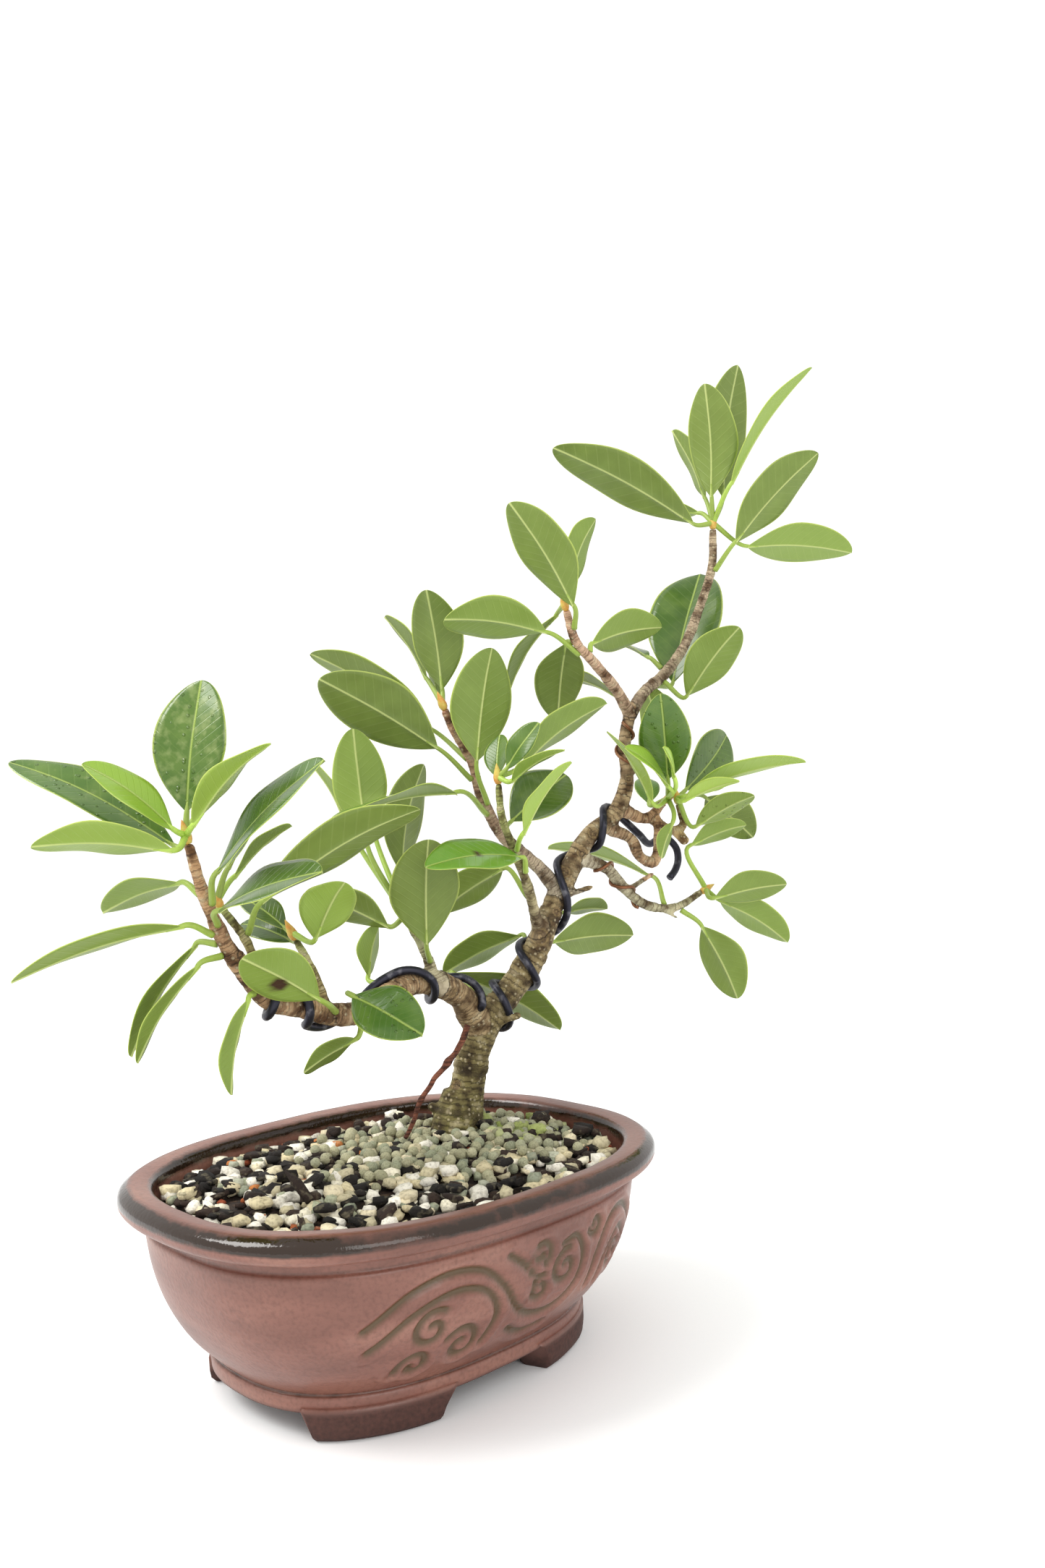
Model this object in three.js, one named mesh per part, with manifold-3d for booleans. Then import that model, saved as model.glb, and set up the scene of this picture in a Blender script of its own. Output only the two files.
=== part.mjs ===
// A small fig-like bonsai in a shallow oval stoneware pot, in millimetres, +Z up.
// While the tree is laid out, the origin is under the middle of the pot on the surface it stands on,
// +X runs along the pot's long side and the front is -Y. At the end everything is moved so that
// the origin is at the middle of the underside of the whole object's box.
import * as THREE from 'three';
import { mergeVertices } from 'three/addons/utils/BufferGeometryUtils.js';
import Module from 'manifold-3d';

const wasm = await Module();
wasm.setup();

// ---- driving dimensions ----
const GAP = 0.3;                 // left between pieces that touch
const POT_HALF_LENGTH = 100;     // an eight inch oval pot
const POT_HALF_WIDTH = 82;
const POT_HEIGHT = 75;
const POT_SQUARENESS = 2.5;      // 2 is an ellipse, more is squarer
const POT_FACETS = 32;
const FOOT_HEIGHT = 9;
const FOOT_FROM_X = 20;          // the four feet stand outside these distances from the middle
const FOOT_FROM_Y = 29;
const FLOOR_TOP = 16;
const HOLE_RADIUS = 8;
const HOLE_FACETS = 24;
const HOLE_OFFSET = 34;          // of each drain hole from the middle
const RIM_WIDTH = 12.4;
const SCREEN_SIZE = 24;
const SCREEN_THICKNESS = 1.2;
const SOIL_TOP = 65;
const GRAVEL_DEPTH = 4.5;
const WIRE_RADIUS = 1.7;
const THIN_WIRE_RADIUS = 0.75;
const ROOT_RADIUS = 1.3;
const BLADE_THICKNESS = 0.7;
const STALK_RADIUS = 0.8;
const BUD_RADIUS = 1.9;
const BUD_STRETCH = 1.3;         // a bud's height over its width
const KNOT = 1.06;               // how far bumps in the bark stand out of a shoot's radius

// ---- woody shoots: points along the pith, then the radius at the start and at the end ----
const shoots = {
  trunk: {
    points: [[45, 20, 60], [50, 20, 75], [55, 20, 95], [60, 18, 110], [75, 15, 125], [85, 10, 140],
      [95, 7, 160], [105, 4, 178], [112, 0, 190], [125, -5, 200], [130, -8, 215], [128, -9, 230],
      [131, -11, 247]],
    radii: [8.6, 2.3],
  },
  leftLimb: {
    points: [[58, 18, 112], [48, 16, 125], [35, 14, 132], [20, 12, 135], [5, 9, 132], [-10, 6, 128],
      [-25, 5, 129], [-40, 4, 134], [-53, 3, 138], [-60, 3, 146], [-66, 3, 155]],
    radii: [6, 3],
  },
  leftShoot: { points: [[-65, 3, 152], [-72, 3, 165], [-78, 3, 180], [-82, 3, 194]], radii: [2.8, 1.5] },
  leftBackShoot: { points: [[-57, 3, 142], [-57, 8, 157], [-64, 14, 171]], radii: [1.8, 1.2] },
  budShoot: { points: [[-26, 5, 129], [-30, 8, 144], [-35, 12, 157]], radii: [1.8, 1.2] },
  midShoot: { points: [[31, 12, 133], [28, 14, 145], [21, 16, 159]], radii: [2.4, 1.3] },
  longTwig: {
    points: [[98, 5, 165], [90, 10, 177], [75, 17, 192], [66, 20, 210], [62, 21, 225], [53, 22, 238],
      [49, 22, 246]],
    radii: [3.2, 1.5],
  },
  frontTwig: {
    points: [[86, 8, 151], [78, 2, 160], [68, -4, 173], [57, -8, 188], [50, -10, 200], [47, -12, 213]],
    radii: [2.4, 1.2],
  },
  secondTwig: {
    points: [[130, -11, 244], [122, -12, 253], [105, -14, 265], [92, -15, 274], [85, -17, 286]],
    radii: [2.6, 1.5],
  },
  apexTwig: {
    points: [[130, -10, 242], [138, -13, 254], [150, -16, 263], [160, -20, 276], [168, -23, 293],
      [173, -28, 313], [171, -31, 330]],
    radii: [2.7, 1.6],
  },
  rightStub: { points: [[129, -6, 201], [140, -10, 197], [147, -15, 204]], radii: [3, 1.6] },
  rightLoop: {
    points: [[122, -3, 193], [130, -9, 188], [132, -12, 180], [138, -15, 177], [142, -15, 187],
      [144, -13, 197]],
    radii: [2.6, 1.8],
  },
  rightTwig: {
    points: [[142, -11, 197], [150, -17, 191], [154, -20, 193], [150, -21, 203]],
    radii: [2.2, 1.4],
  },
  lowTwig: {
    points: [[109, 2, 180], [120, -3, 175], [125, -7, 167], [135, -12, 158], [150, -17, 156],
      [164, -21, 162]],
    radii: [2.8, 1.3],
  },
};

// ---- leaves: name, shoot, how far along it (1 is in the whorl at its bud), then the stalk's and the
//      blade's [heading from +X, rise above level, length], the blade's width and its turn about its length.
//      Angles are in degrees ----
const leaves = [
  ['apex_long_left', 'apexTwig', 1, [155, -5, 10], [155, 25, 75], 25, -35],
  ['apex_upright', 'apexTwig', 1, [215, 65, 12], [215, 75, 50], 25, 25],
  ['apex_behind', 'apexTwig', 1, [5, 55, 17], [350, 80, 65], 24, 105],
  ['apex_edge_on', 'apexTwig', 1, [260, 50, 20], [290, 50, 60], 24, -10],
  ['apex_right', 'apexTwig', 0.82, [275, 45, 16], [310, 45, 55], 25, 45],
  ['apex_low_right', 'apexTwig', 1, [335, -30, 20], [335, 0, 57], 25, 35],
  ['apex_small_left', 'apexTwig', 1, [90, 40, 10], [100, 10, 25], 13, -25],
  ['apex_small_up', 'apexTwig', 1, [60, 60, 16], [95, 65, 40], 18, -55],
  ['apex_round', 'apexTwig', 0.23, [5, 10, 14], [10, 60, 65], 36, -15],
  ['apex_lower', 'apexTwig', 0.25, [285, -35, 13], [275, 45, 40], 22, 35],
  ['apex_narrow', 'apexTwig', 0.3, [115, 45, 8], [80, 20, 34], 16, -10],
  ['second_up', 'secondTwig', 0.87, [225, 50, 11], [165, 55, 50], 25, -25],
  ['second_right_up', 'secondTwig', 1, [20, 50, 8], [10, 60, 40], 20, 80],
  ['second_left', 'secondTwig', 0.67, [175, 25, 20], [165, 5, 48], 24, -35],
  ['second_hanging', 'secondTwig', 0.76, [90, 5, 4], [55, -50, 40], 23, 5],
  ['second_right', 'secondTwig', 0.61, [0, 70, 4], [355, 15, 43], 21, 55],
  ['second_narrow', 'secondTwig', 1, [65, -15, 10], [90, -40, 42], 20, 25],
  ['second_thin', 'secondTwig', 0.08, [50, 20, 8], [100, 25, 33], 16, -25],
  ['long_upright', 'longTwig', 1, [45, 65, 7], [210, 70, 43], 23, 0],
  ['long_side', 'longTwig', 1, [55, 15, 14], [85, 65, 35], 16, -80],
  ['long_thin', 'longTwig', 1, [75, 40, 19], [95, 50, 40], 18, -50],
  ['long_tall', 'longTwig', 0.54, [205, 60, 21], [290, 80, 48], 27, 45],
  ['long_broad', 'longTwig', 0.66, [170, 40, 21], [160, 30, 58], 29, -55],
  ['long_back', 'longTwig', 0.75, [110, 40, 21], [135, 35, 64], 25, -35],
  ['long_level', 'longTwig', 0.5, [200, 20, 28], [180, -10, 65], 24, -10],
  ['front_round', 'frontTwig', 1, [50, 0, 6], [35, 65, 20], 12, 20],
  ['front_gloss', 'frontTwig', 1, [285, 35, 5], [295, 50, 23], 12, -70],
  ['front_lime', 'frontTwig', 1, [270, -15, 8], [280, 25, 28], 14, 0],
  ['front_back_lime', 'frontTwig', 1, [10, 15, 15], [335, 35, 48], 24, 35],
  ['front_dark', 'frontTwig', 0.75, [35, 10, 10], [0, 30, 40], 24, -45],
  ['front_pale', 'frontTwig', 0.62, [240, 30, 13], [285, 50, 36], 18, -10],
  ['front_level', 'frontTwig', 0.47, [215, 45, 9], [180, 0, 50], 21, 35],
  ['front_low', 'frontTwig', 0.25, [105, 45, 17], [110, -30, 38], 19, -45],
  ['trunk_back_left', 'trunk', 0.42, [55, 35, 13], [125, -25, 40], 20, -40],
  ['trunk_back_right', 'trunk', 0.44, [20, 10, 15], [345, 0, 43], 22, 65],
  ['trunk_back_small', 'trunk', 0.5, [25, 10, 19], [355, 0, 27], 14, 35],
  ['trunk_low_right', 'trunk', 0.3, [100, 30, 20], [335, -30, 57], 25, 35],
  ['mid_dark_back', 'midShoot', 0.7, [70, 50, 33], [0, 75, 48], 27, 75],
  ['mid_dark_front', 'midShoot', 0.35, [220, 50, 10], [240, 75, 43], 29, -5],
  ['mid_olive', 'midShoot', 1, [140, 65, 35], [155, 85, 44], 22, -75],
  ['mid_lime_back', 'midShoot', 1, [80, 55, 49], [85, 75, 39], 18, -75],
  ['mid_narrow', 'midShoot', 1, [100, 50, 47], [115, 60, 33], 14, -35],
  ['mid_round', 'leftLimb', 0.37, [105, 10, 13], [15, 70, 21], 22, 75],
  ['mid_side_dark', 'midShoot', 1, [160, -30, 8], [150, 25, 36], 18, -50],
  ['limb_yellow', 'budShoot', 1, [280, -10, 12], [280, 55, 26], 21, 25],
  ['limb_holed', 'leftLimb', 0.66, [220, 20, 22], [180, 30, 35], 20, -55],
  ['limb_gloss', 'leftLimb', 0.54, [220, 15, 28], [280, -20, 34], 21, -40],
  ['limb_low', 'leftLimb', 0.56, [205, -45, 6], [165, -25, 23], 12, -55],
  ['limb_dark_high', 'budShoot', 1, [90, 20, 4], [110, 30, 25], 13, 25],
  ['limb_dark_low', 'budShoot', 1, [55, -25, 9], [105, 15, 27], 13, 35],
  ['left_spotted', 'leftShoot', 1, [45, 80, 8], [10, 80, 46], 27, -25],
  ['left_lime_up', 'leftShoot', 1, [200, 20, 6], [160, 40, 36], 16, 45],
  ['left_olive', 'leftShoot', 1, [80, -15, 13], [135, 30, 65], 21, 35],
  ['left_lime_level', 'leftShoot', 1, [215, -25, 11], [155, 5, 43], 21, -30],
  ['left_pale', 'leftShoot', 0.6, [105, 25, 10], [110, -15, 37], 17, -25],
  ['left_long', 'leftShoot', 0.3, [185, 20, 12], [160, -15, 55], 22, -20],
  ['left_droop_back', 'leftShoot', 0.2, [125, 0, 8], [125, -55, 46], 15, 0],
  ['left_droop_front', 'leftShoot', 0.12, [175, -15, 9], [140, -55, 38], 15, -10],
  ['left_droop_low', 'leftLimb', 0.9, [220, -10, 6], [175, -75, 32], 16, -45],
  ['left_lime_right', 'leftShoot', 1, [260, 25, 8], [290, 40, 41], 19, -5],
  ['left_back_green', 'leftShoot', 1, [40, 35, 11], [355, 45, 28], 13, 50],
  ['left_grey', 'leftShoot', 0.52, [250, 50, 14], [295, 40, 55], 22, -45],
  ['left_front_grey', 'leftShoot', 0.36, [240, 25, 13], [285, 15, 47], 22, -35],
  ['left_dark_back', 'leftBackShoot', 1, [325, 70, 12], [345, 55, 23], 11, -10],
  ['left_green_back', 'leftBackShoot', 1, [20, 40, 12], [350, 40, 29], 14, 30],
  ['mid_big', 'leftBackShoot', 0.6, [290, 60, 13], [310, 30, 65], 25, 30],
  ['right_gloss', 'rightStub', 1, [220, 30, 16], [215, 60, 42], 23, 175],
  ['right_behind', 'rightStub', 1, [45, 75, 9], [105, 80, 45], 22, -80],
  ['right_olive', 'rightTwig', 1, [335, 40, 6], [355, 40, 39], 27, -90],
  ['right_lime_long', 'rightTwig', 1, [240, 5, 9], [300, 15, 55], 22, 15],
  ['right_lime_short', 'rightTwig', 1, [230, -5, 16], [275, 15, 29], 13, 15],
  ['right_wet', 'rightTwig', 1, [275, -55, 16], [285, 25, 31], 15, 35],
  ['right_dark', 'rightTwig', 1, [355, 0, 19], [345, -35, 33], 21, 45],
  ['right_pale', 'lowTwig', 1, [180, 65, 23], [315, 20, 27], 13, 50],
  ['right_lime_left', 'rightStub', 1, [200, -5, 22], [185, 45, 43], 16, 30],
  ['right_teal', 'rightStub', 1, [220, 10, 26], [185, 30, 34], 14, 55],
  ['right_young', 'rightStub', 1, [225, 15, 31], [205, 40, 20], 9, 80],
  ['right_under', 'rightStub', 1, [85, -10, 13], [45, 40, 21], 12, -5],
  ['right_down', 'rightStub', 1, [225, -35, 19], [175, -60, 18], 10, -80],
  ['low_up', 'lowTwig', 1, [235, -15, 13], [310, 10, 33], 17, 60],
  ['low_side', 'lowTwig', 1, [280, -35, 9], [335, -30, 40], 20, 35],
  ['low_drooping', 'lowTwig', 0.8, [315, -40, 12], [300, -65, 36], 22, 70],
  ['low_long_back', 'lowTwig', 0.7, [65, 45, 18], [100, 15, 59], 20, -30],
];

// ---- materials ----
const paint = (color, roughness, metalness = 0) =>
  new THREE.MeshStandardMaterial({ color, roughness, metalness });
const glazedStoneware = () => paint(0x8f6257, 0.35);
const soilMix = () => paint(0x3b2c22, 0.95);
const pumiceGravel = () => paint(0x8c8069, 0.95);
const bark = () => paint(0x8d7558, 0.85);
const darkLeaf = () => paint(0x4f7f32, 0.4);
const limeLeaf = () => paint(0x9bc552, 0.45);
const anodisedWire = () => paint(0x3b3a42, 0.4, 0.9);
const brownWire = () => paint(0x8a5a3c, 0.45, 0.9);
const plasticScreen = () => paint(0x2b2b2b, 0.6);

const group = new THREE.Group();
function add(name, geometry, material) {
  const mesh = new THREE.Mesh(geometry, material);
  mesh.name = name;
  group.add(mesh);
}

// ---- joining and cutting ----
function solid(geometry) {
  const bare = geometry.clone();
  bare.deleteAttribute('normal');
  bare.deleteAttribute('uv');
  const merged = mergeVertices(bare, 1e-4);
  const vertProperties = new Float32Array(merged.attributes.position.array);
  const triVerts = new Uint32Array(merged.index.array);
  if (signedVolume(vertProperties, triVerts) < 0) {
    for (let i = 0; i < triVerts.length; i += 3) {
      [triVerts[i], triVerts[i + 1]] = [triVerts[i + 1], triVerts[i]];
    }
  }
  return new wasm.Manifold(new wasm.Mesh({ numProp: 3, vertProperties, triVerts }));
}

function signedVolume(vertices, triangles) {
  const corner = (k) => new THREE.Vector3().fromArray(vertices, 3 * k);
  let sum = 0;
  for (let i = 0; i < triangles.length; i += 3) {
    sum += corner(triangles[i]).dot(corner(triangles[i + 1]).cross(corner(triangles[i + 2])));
  }
  return sum / 6;
}

function geometryOf(manifold) {
  const mesh = manifold.getMesh();
  const geometry = new THREE.BufferGeometry();
  geometry.setAttribute('position', new THREE.BufferAttribute(new Float32Array(mesh.vertProperties), 3));
  geometry.setIndex(new THREE.BufferAttribute(new Uint32Array(mesh.triVerts), 1));
  const flat = geometry.toNonIndexed();
  flat.computeVertexNormals();
  return flat;
}

const union = (solids) => solids.reduce((all, next) => all.add(next));

// ---- basic shapes ----
function polygon(sides, radius) {
  const corners = [];
  for (let i = 0; i < sides; i++) {
    const angle = 2 * Math.PI * i / sides;
    corners.push(new THREE.Vector2(radius * Math.cos(angle), radius * Math.sin(angle)));
  }
  return new THREE.Shape(corners);
}

// A round tube along a path whose radius is radiusAt(0..1).
function taperedTube(path, radiusAt, sides, steps) {
  const sweep = { extrudePath: path, steps, bevelEnabled: false };
  const tube = new THREE.ExtrudeGeometry(polygon(sides, 1), sweep);
  const centres = path.getSpacedPoints(steps);
  const position = tube.attributes.position;
  const vertex = new THREE.Vector3();
  for (let i = 0; i < position.count; i++) {
    vertex.fromBufferAttribute(position, i);
    const distances = centres.map((centre) => centre.distanceTo(vertex));
    const nearest = distances.indexOf(Math.min(...distances));
    const radius = radiusAt(nearest / steps);
    vertex.sub(centres[nearest]).multiplyScalar(radius).add(centres[nearest]);
    position.setXYZ(i, vertex.x, vertex.y, vertex.z);
  }
  return solid(tube);
}

const smoothPath = (points) => new THREE.CatmullRomCurve3(points.map((p) => new THREE.Vector3(...p)));

function ball(radius, centre, stretch = 1) {
  const geometry = new THREE.SphereGeometry(radius, 6, 4);
  geometry.scale(1, 1, stretch);
  geometry.translate(...centre);
  return solid(geometry);
}

// ---- the pot's plan ----
// A profile is turned as a lathe shape and then its rings are squared into the pot's oval.
// Its points are [how far inside the lip's outer edge, height].
function squared(value, power) {
  return Math.sign(value) * Math.abs(value) ** power;
}

function ovalTurned(profile, facets = POT_FACETS) {
  const points = profile.map(([inset, height]) => new THREE.Vector2(POT_HALF_LENGTH - inset, height));
  const geometry = new THREE.LatheGeometry(points, facets);
  geometry.rotateX(Math.PI / 2);
  const position = geometry.attributes.position;
  for (let i = 0; i < position.count; i++) {
    const radius = Math.hypot(position.getX(i), position.getY(i));
    if (radius < 1e-6) continue;
    const inset = POT_HALF_LENGTH - radius;
    const [x, y] = ovalPoint(Math.atan2(position.getY(i), position.getX(i)), inset);
    position.setXY(i, x, y);
  }
  return geometry;
}

function ovalPoint(angle, inset) {
  const share = (POT_HALF_LENGTH - inset) / POT_HALF_LENGTH;
  const halfLength = POT_HALF_LENGTH - inset;
  const halfWidth = Math.max(POT_HALF_WIDTH - inset, POT_HALF_WIDTH * share * share);
  const power = 2 / POT_SQUARENESS;
  return [halfLength * squared(Math.cos(angle), power), halfWidth * squared(Math.sin(angle), power)];
}

// ---- pot: one fired piece with its lip, base band, four corner feet and two drain holes ----
const outerWall = [
  [29, FOOT_HEIGHT], [28.5, 14], [30, 15], [28, 17], [21, 24], [14.5, 35], [10.5, 47], [9, 57],
  [10, 61.5], [9, 64], [0, 68], [0, 72.5], [3, POT_HEIGHT],
];
const innerWall = [
  [RIM_WIDTH - 1, POT_HEIGHT], [RIM_WIDTH, 66], [14.5, 56], [19, 42], [26, 29], [41, FLOOR_TOP],
];

function potBody() {
  const profile = [[POT_HALF_LENGTH, FOOT_HEIGHT], ...outerWall, ...innerWall, [POT_HALF_LENGTH, FLOOR_TOP]];
  let body = solid(ovalTurned(profile));
  const footRing = solid(ovalTurned([[39, 0], [30, 0], [28, 2], [28, 11], [40, 11], [40, 1], [39, 0]]));
  const cornerSize = new THREE.Vector3(60, 50, 2 * POT_HEIGHT);
  for (const sideX of [-1, 1]) {
    for (const sideY of [-1, 1]) {
      const corner = new THREE.BoxGeometry(...cornerSize);
      corner.translate(sideX * (FOOT_FROM_X + cornerSize.x / 2), sideY * (FOOT_FROM_Y + cornerSize.y / 2), 0);
      body = body.add(footRing.intersect(solid(corner)));
    }
  }
  for (const side of [-1, 1]) {
    const hole = new THREE.CylinderGeometry(HOLE_RADIUS, HOLE_RADIUS, 2 * FLOOR_TOP, HOLE_FACETS);
    hole.rotateX(Math.PI / 2);
    hole.translate(side * HOLE_OFFSET, 0, FLOOR_TOP);
    body = body.subtract(solid(hole));
  }
  return body;
}
add('pot', geometryOf(potBody()), glazedStoneware());

// ---- plastic screens over the drain holes ----
for (const [name, side] of [['drain_screen_left', -1], ['drain_screen_right', 1]]) {
  const screen = new THREE.BoxGeometry(SCREEN_SIZE, SCREEN_SIZE, SCREEN_THICKNESS);
  screen.translate(side * HOLE_OFFSET, 0, FLOOR_TOP + GAP + SCREEN_THICKNESS / 2);
  add(name, screen, plasticScreen());
}

// ---- the tree: trunk, limbs, twigs, pruning stubs and the roots in the soil, one grown piece ----
const paths = {};
for (const [name, shoot] of Object.entries(shoots)) paths[name] = smoothPath(shoot.points);

function shootRadius(name, along) {
  const [start, end] = shoots[name].radii;
  return start + (end - start) * along ** 0.85;
}

function shootSolid(name, extra = 0) {
  const thick = shoots[name].radii[0] > 4;
  const steps = Math.round(paths[name].getLength() / (thick ? 8 : 9));
  const swell = (along) => 1 + (thick ? 0.05 * Math.sin(along * 34) : 0.06 * Math.sin(along * 25));
  return taperedTube(paths[name], (t) => shootRadius(name, t) * swell(t) + extra, thick ? 7 : 5,
    Math.max(steps, shoots[name].points.length));
}

const roots = [
  [[44, 20, 66], [56, 30, 55], [64, 34, 44]],
  [[44, 20, 66], [34, 34, 56], [16, 44, 44]],
  [[44, 20, 66], [28, 10, 55], [6, 2, 45]],
  [[44, 20, 66], [56, 4, 56], [70, -14, 45]],
];
const flare = [[43, 19, 50], [44, 20, 66], [49, 20, 86]];
const stubs = [
  { from: [62, 15, 112], to: [70, 4, 116], radius: 1.8 },
  { from: [47, 20, 72], to: [38, 28, 81], radius: 2.6 },
  { from: [99, 5, 164], to: [107, -6, 168], radius: 1.5 },
  { from: [151, -18, 191], to: [151, -24, 185], radius: 2.6 },
  { from: [127, -8, 165], to: [139, -14, 172], radius: 1.4 },
  { from: [140, -13, 157], to: [150, -18, 151], radius: 1 },
];

function rootSolids(extra = 0) {
  const solids = roots.map((points) =>
    taperedTube(smoothPath(points), (t) => 5.5 - 3.7 * t + extra, 6, 4));
  solids.push(taperedTube(smoothPath(flare), (t) => 13.5 - 5.2 * t + extra, 8, 3));
  return solids;
}

function stubSolid({ from, to, radius }, extra = 0) {
  const line = new THREE.LineCurve3(new THREE.Vector3(...from), new THREE.Vector3(...to));
  return taperedTube(line, (t) => radius * (1 - 0.2 * t) + extra, 6, 2);
}

// ---- training wires: each winding lists [how far along the shoot, angle round it in degrees] ----
// Angle 90 is behind the shoot and 270 in front of it.
const limbWinding = [[0.86, 300], [0.84, 180], [0.81, 90], [0.78, 0], [0.75, -90], [0.72, -180],
  [0.55, -270], [0.38, -360], [0.3, -450], [0.25, -540], [0.19, -630], [0.13, -720], [0.08, -800]];
const trunkWinding = [[0.26, 150], [0.265, 80], [0.275, 0], [0.295, -90], [0.32, -180], [0.345, -270],
  [0.37, -360], [0.39, -450], [0.415, -540], [0.45, -630], [0.49, -720], [0.55, -810], [0.6, -900],
  [0.64, -990], [0.68, -1080], [0.715, -1170], [0.75, -1260], [0.78, -1330]];
const wireTail = [[140, -5, 190], [150, -3, 185], [159, -4, 188], [164, -7, 183], [163, -9, 177],
  [159, -10, 172], [155, -10, 169]];
const thinUpperWinding = [[0.86, 0], [0.88, -90], [0.9, -180], [0.92, -270], [0.935, -360],
  [0.95, -450], [0.965, -540]];
const thinLowerWinding = [[0.1, 0], [0.16, -90], [0.2, -180], [0.26, -270], [0.3, -360], [0.36, -450],
  [0.42, -540], [0.46, -630], [0.5, -720]];

function coil(shootName, winding, wireRadius) {
  const points = [];
  for (let i = 1; i < winding.length; i++) {
    const [fromAlong, fromAngle] = winding[i - 1];
    const [toAlong, toAngle] = winding[i];
    for (const share of i === 1 ? [0, 0.5, 1] : [0.5, 1]) {
      const along = fromAlong + (toAlong - fromAlong) * share;
      const angle = THREE.MathUtils.degToRad(fromAngle + (toAngle - fromAngle) * share);
      const tangent = paths[shootName].getTangentAt(along);
      const side = new THREE.Vector3(0, 1, 0).cross(tangent).normalize();
      const back = tangent.clone().cross(side);
      const reach = shootRadius(shootName, along) * KNOT + wireRadius + 3 * GAP;
      points.push(paths[shootName].getPointAt(along)
        .addScaledVector(side, reach * Math.cos(angle))
        .addScaledVector(back, reach * Math.sin(angle)));
    }
  }
  return points;
}

const tailPoints = wireTail.map((p) => new THREE.Vector3(...p));
const wires = [
  ['training_wire', 6, 5, WIRE_RADIUS, anodisedWire, [...coil('leftLimb', limbWinding, WIRE_RADIUS),
    ...coil('trunk', trunkWinding, WIRE_RADIUS), ...tailPoints]],
  ['thin_wire_upper', 4, 3, THIN_WIRE_RADIUS, brownWire, coil('trunk', thinUpperWinding, THIN_WIRE_RADIUS)],
  ['thin_wire_lower', 4, 3, THIN_WIRE_RADIUS, brownWire, coil('lowTwig', thinLowerWinding, THIN_WIRE_RADIUS)],
];

function wireSolid([, sides, step, radius, , points], extra = 0) {
  const path = new THREE.CatmullRomCurve3(points);
  return taperedTube(path, () => radius + extra, sides, Math.round(path.getLength() / step));
}

const tree = wires.reduce((wood, wire) => wood.subtract(wireSolid(wire, GAP)), union([
  ...Object.keys(shoots).map((name) => shootSolid(name)),
  ...rootSolids(),
  ...stubs.map((stub) => stubSolid(stub)),
]));
add('tree', geometryOf(tree), bark());
for (const wire of wires) add(wire[0], geometryOf(wireSolid(wire)), wire[4]());

// ---- soil ball and the gravel strewn over it, both cut clear of the trunk and roots ----
const WALL_CLEARANCE = GAP + 0.2;
const SOIL_DOME = 3;             // how much higher the soil is in the middle than at the pot's wall
const soilSides = innerWall.slice(2, -1).map(([inset, height]) => [inset + WALL_CLEARANCE, height]);
const soilFloor = FLOOR_TOP + SCREEN_THICKNESS + 2 * GAP;

function domeHeight(inset) {
  const inward = THREE.MathUtils.clamp((inset - RIM_WIDTH) / 48, 0, 1);
  return SOIL_TOP + SOIL_DOME * inward ** 0.7;
}

const soilTop = [POT_HALF_LENGTH, 60, 25, RIM_WIDTH + 1].map((inset) => [inset, domeHeight(inset)]);
const soilProfile = [...soilTop, ...soilSides, [42, soilFloor], [POT_HALF_LENGTH, soilFloor]];
const buried = union([...rootSolids(GAP), shootSolid('trunk', GAP), stubSolid(stubs[1], GAP)]);
const soil = solid(ovalTurned(soilProfile)).subtract(buried);
add('soil', geometryOf(soil), soilMix());

// The bed is a domed sheet whose top is uneven, as loose stones are.
function gravelBed() {
  const rings = [POT_HALF_LENGTH, 84, 64, 44, 28, 18];
  const edge = RIM_WIDTH + WALL_CLEARANCE;
  const top = rings.map((inset) => [inset, domeHeight(inset) + GRAVEL_DEPTH]);
  const underside = rings.map((inset) => [inset, domeHeight(inset) + WALL_CLEARANCE + 0.5]);
  const wall = [[edge, SOIL_TOP + 3.5], [edge, SOIL_TOP + WALL_CLEARANCE]];
  const geometry = ovalTurned([...top, ...wall, ...underside.reverse()], 20);
  const position = geometry.attributes.position;
  for (let i = 0; i < position.count; i++) {
    const [x, y, z] = [position.getX(i), position.getY(i), position.getZ(i)];
    const unevenness = 0.9 * Math.sin(x * 0.9) * Math.cos(y * 1.1);
    if (z > SOIL_TOP + GRAVEL_DEPTH - 0.5) position.setZ(i, z + unevenness);
  }
  return solid(geometry).subtract(buried);
}
add('gravel', geometryOf(gravelBed()), pumiceGravel());

// ---- a thin root that grew in the air from the fork down to the gravel ----
const airRoot = [[47.5, 12.5, 114], [42, 11, 107], [31, 11, 98], [21, 12, 88], [17, 13, 79], [15, 15, 74]];
add('air_root', geometryOf(taperedTube(smoothPath(airRoot),
  (t) => ROOT_RADIUS * (1 - 0.25 * t), 6, 8)), bark());

// ---- leaves: a stalk that opens into a folded, arched blade, all one body ----
const bladeOutline = [0.1, 0.85, 1, 0.78, 0.12];

function leafAxes(base, tip, turn) {
  const along = tip.clone().sub(base).normalize();
  const level = along.clone().cross(new THREE.Vector3(0, 0, 1)).normalize();
  const upper = level.clone().cross(along);
  const angle = THREE.MathUtils.degToRad(turn);
  const across = level.clone().multiplyScalar(Math.cos(angle)).addScaledVector(upper, Math.sin(angle));
  const face = upper.multiplyScalar(Math.cos(angle)).addScaledVector(level, -Math.sin(angle));
  return { across, face };
}

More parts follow.
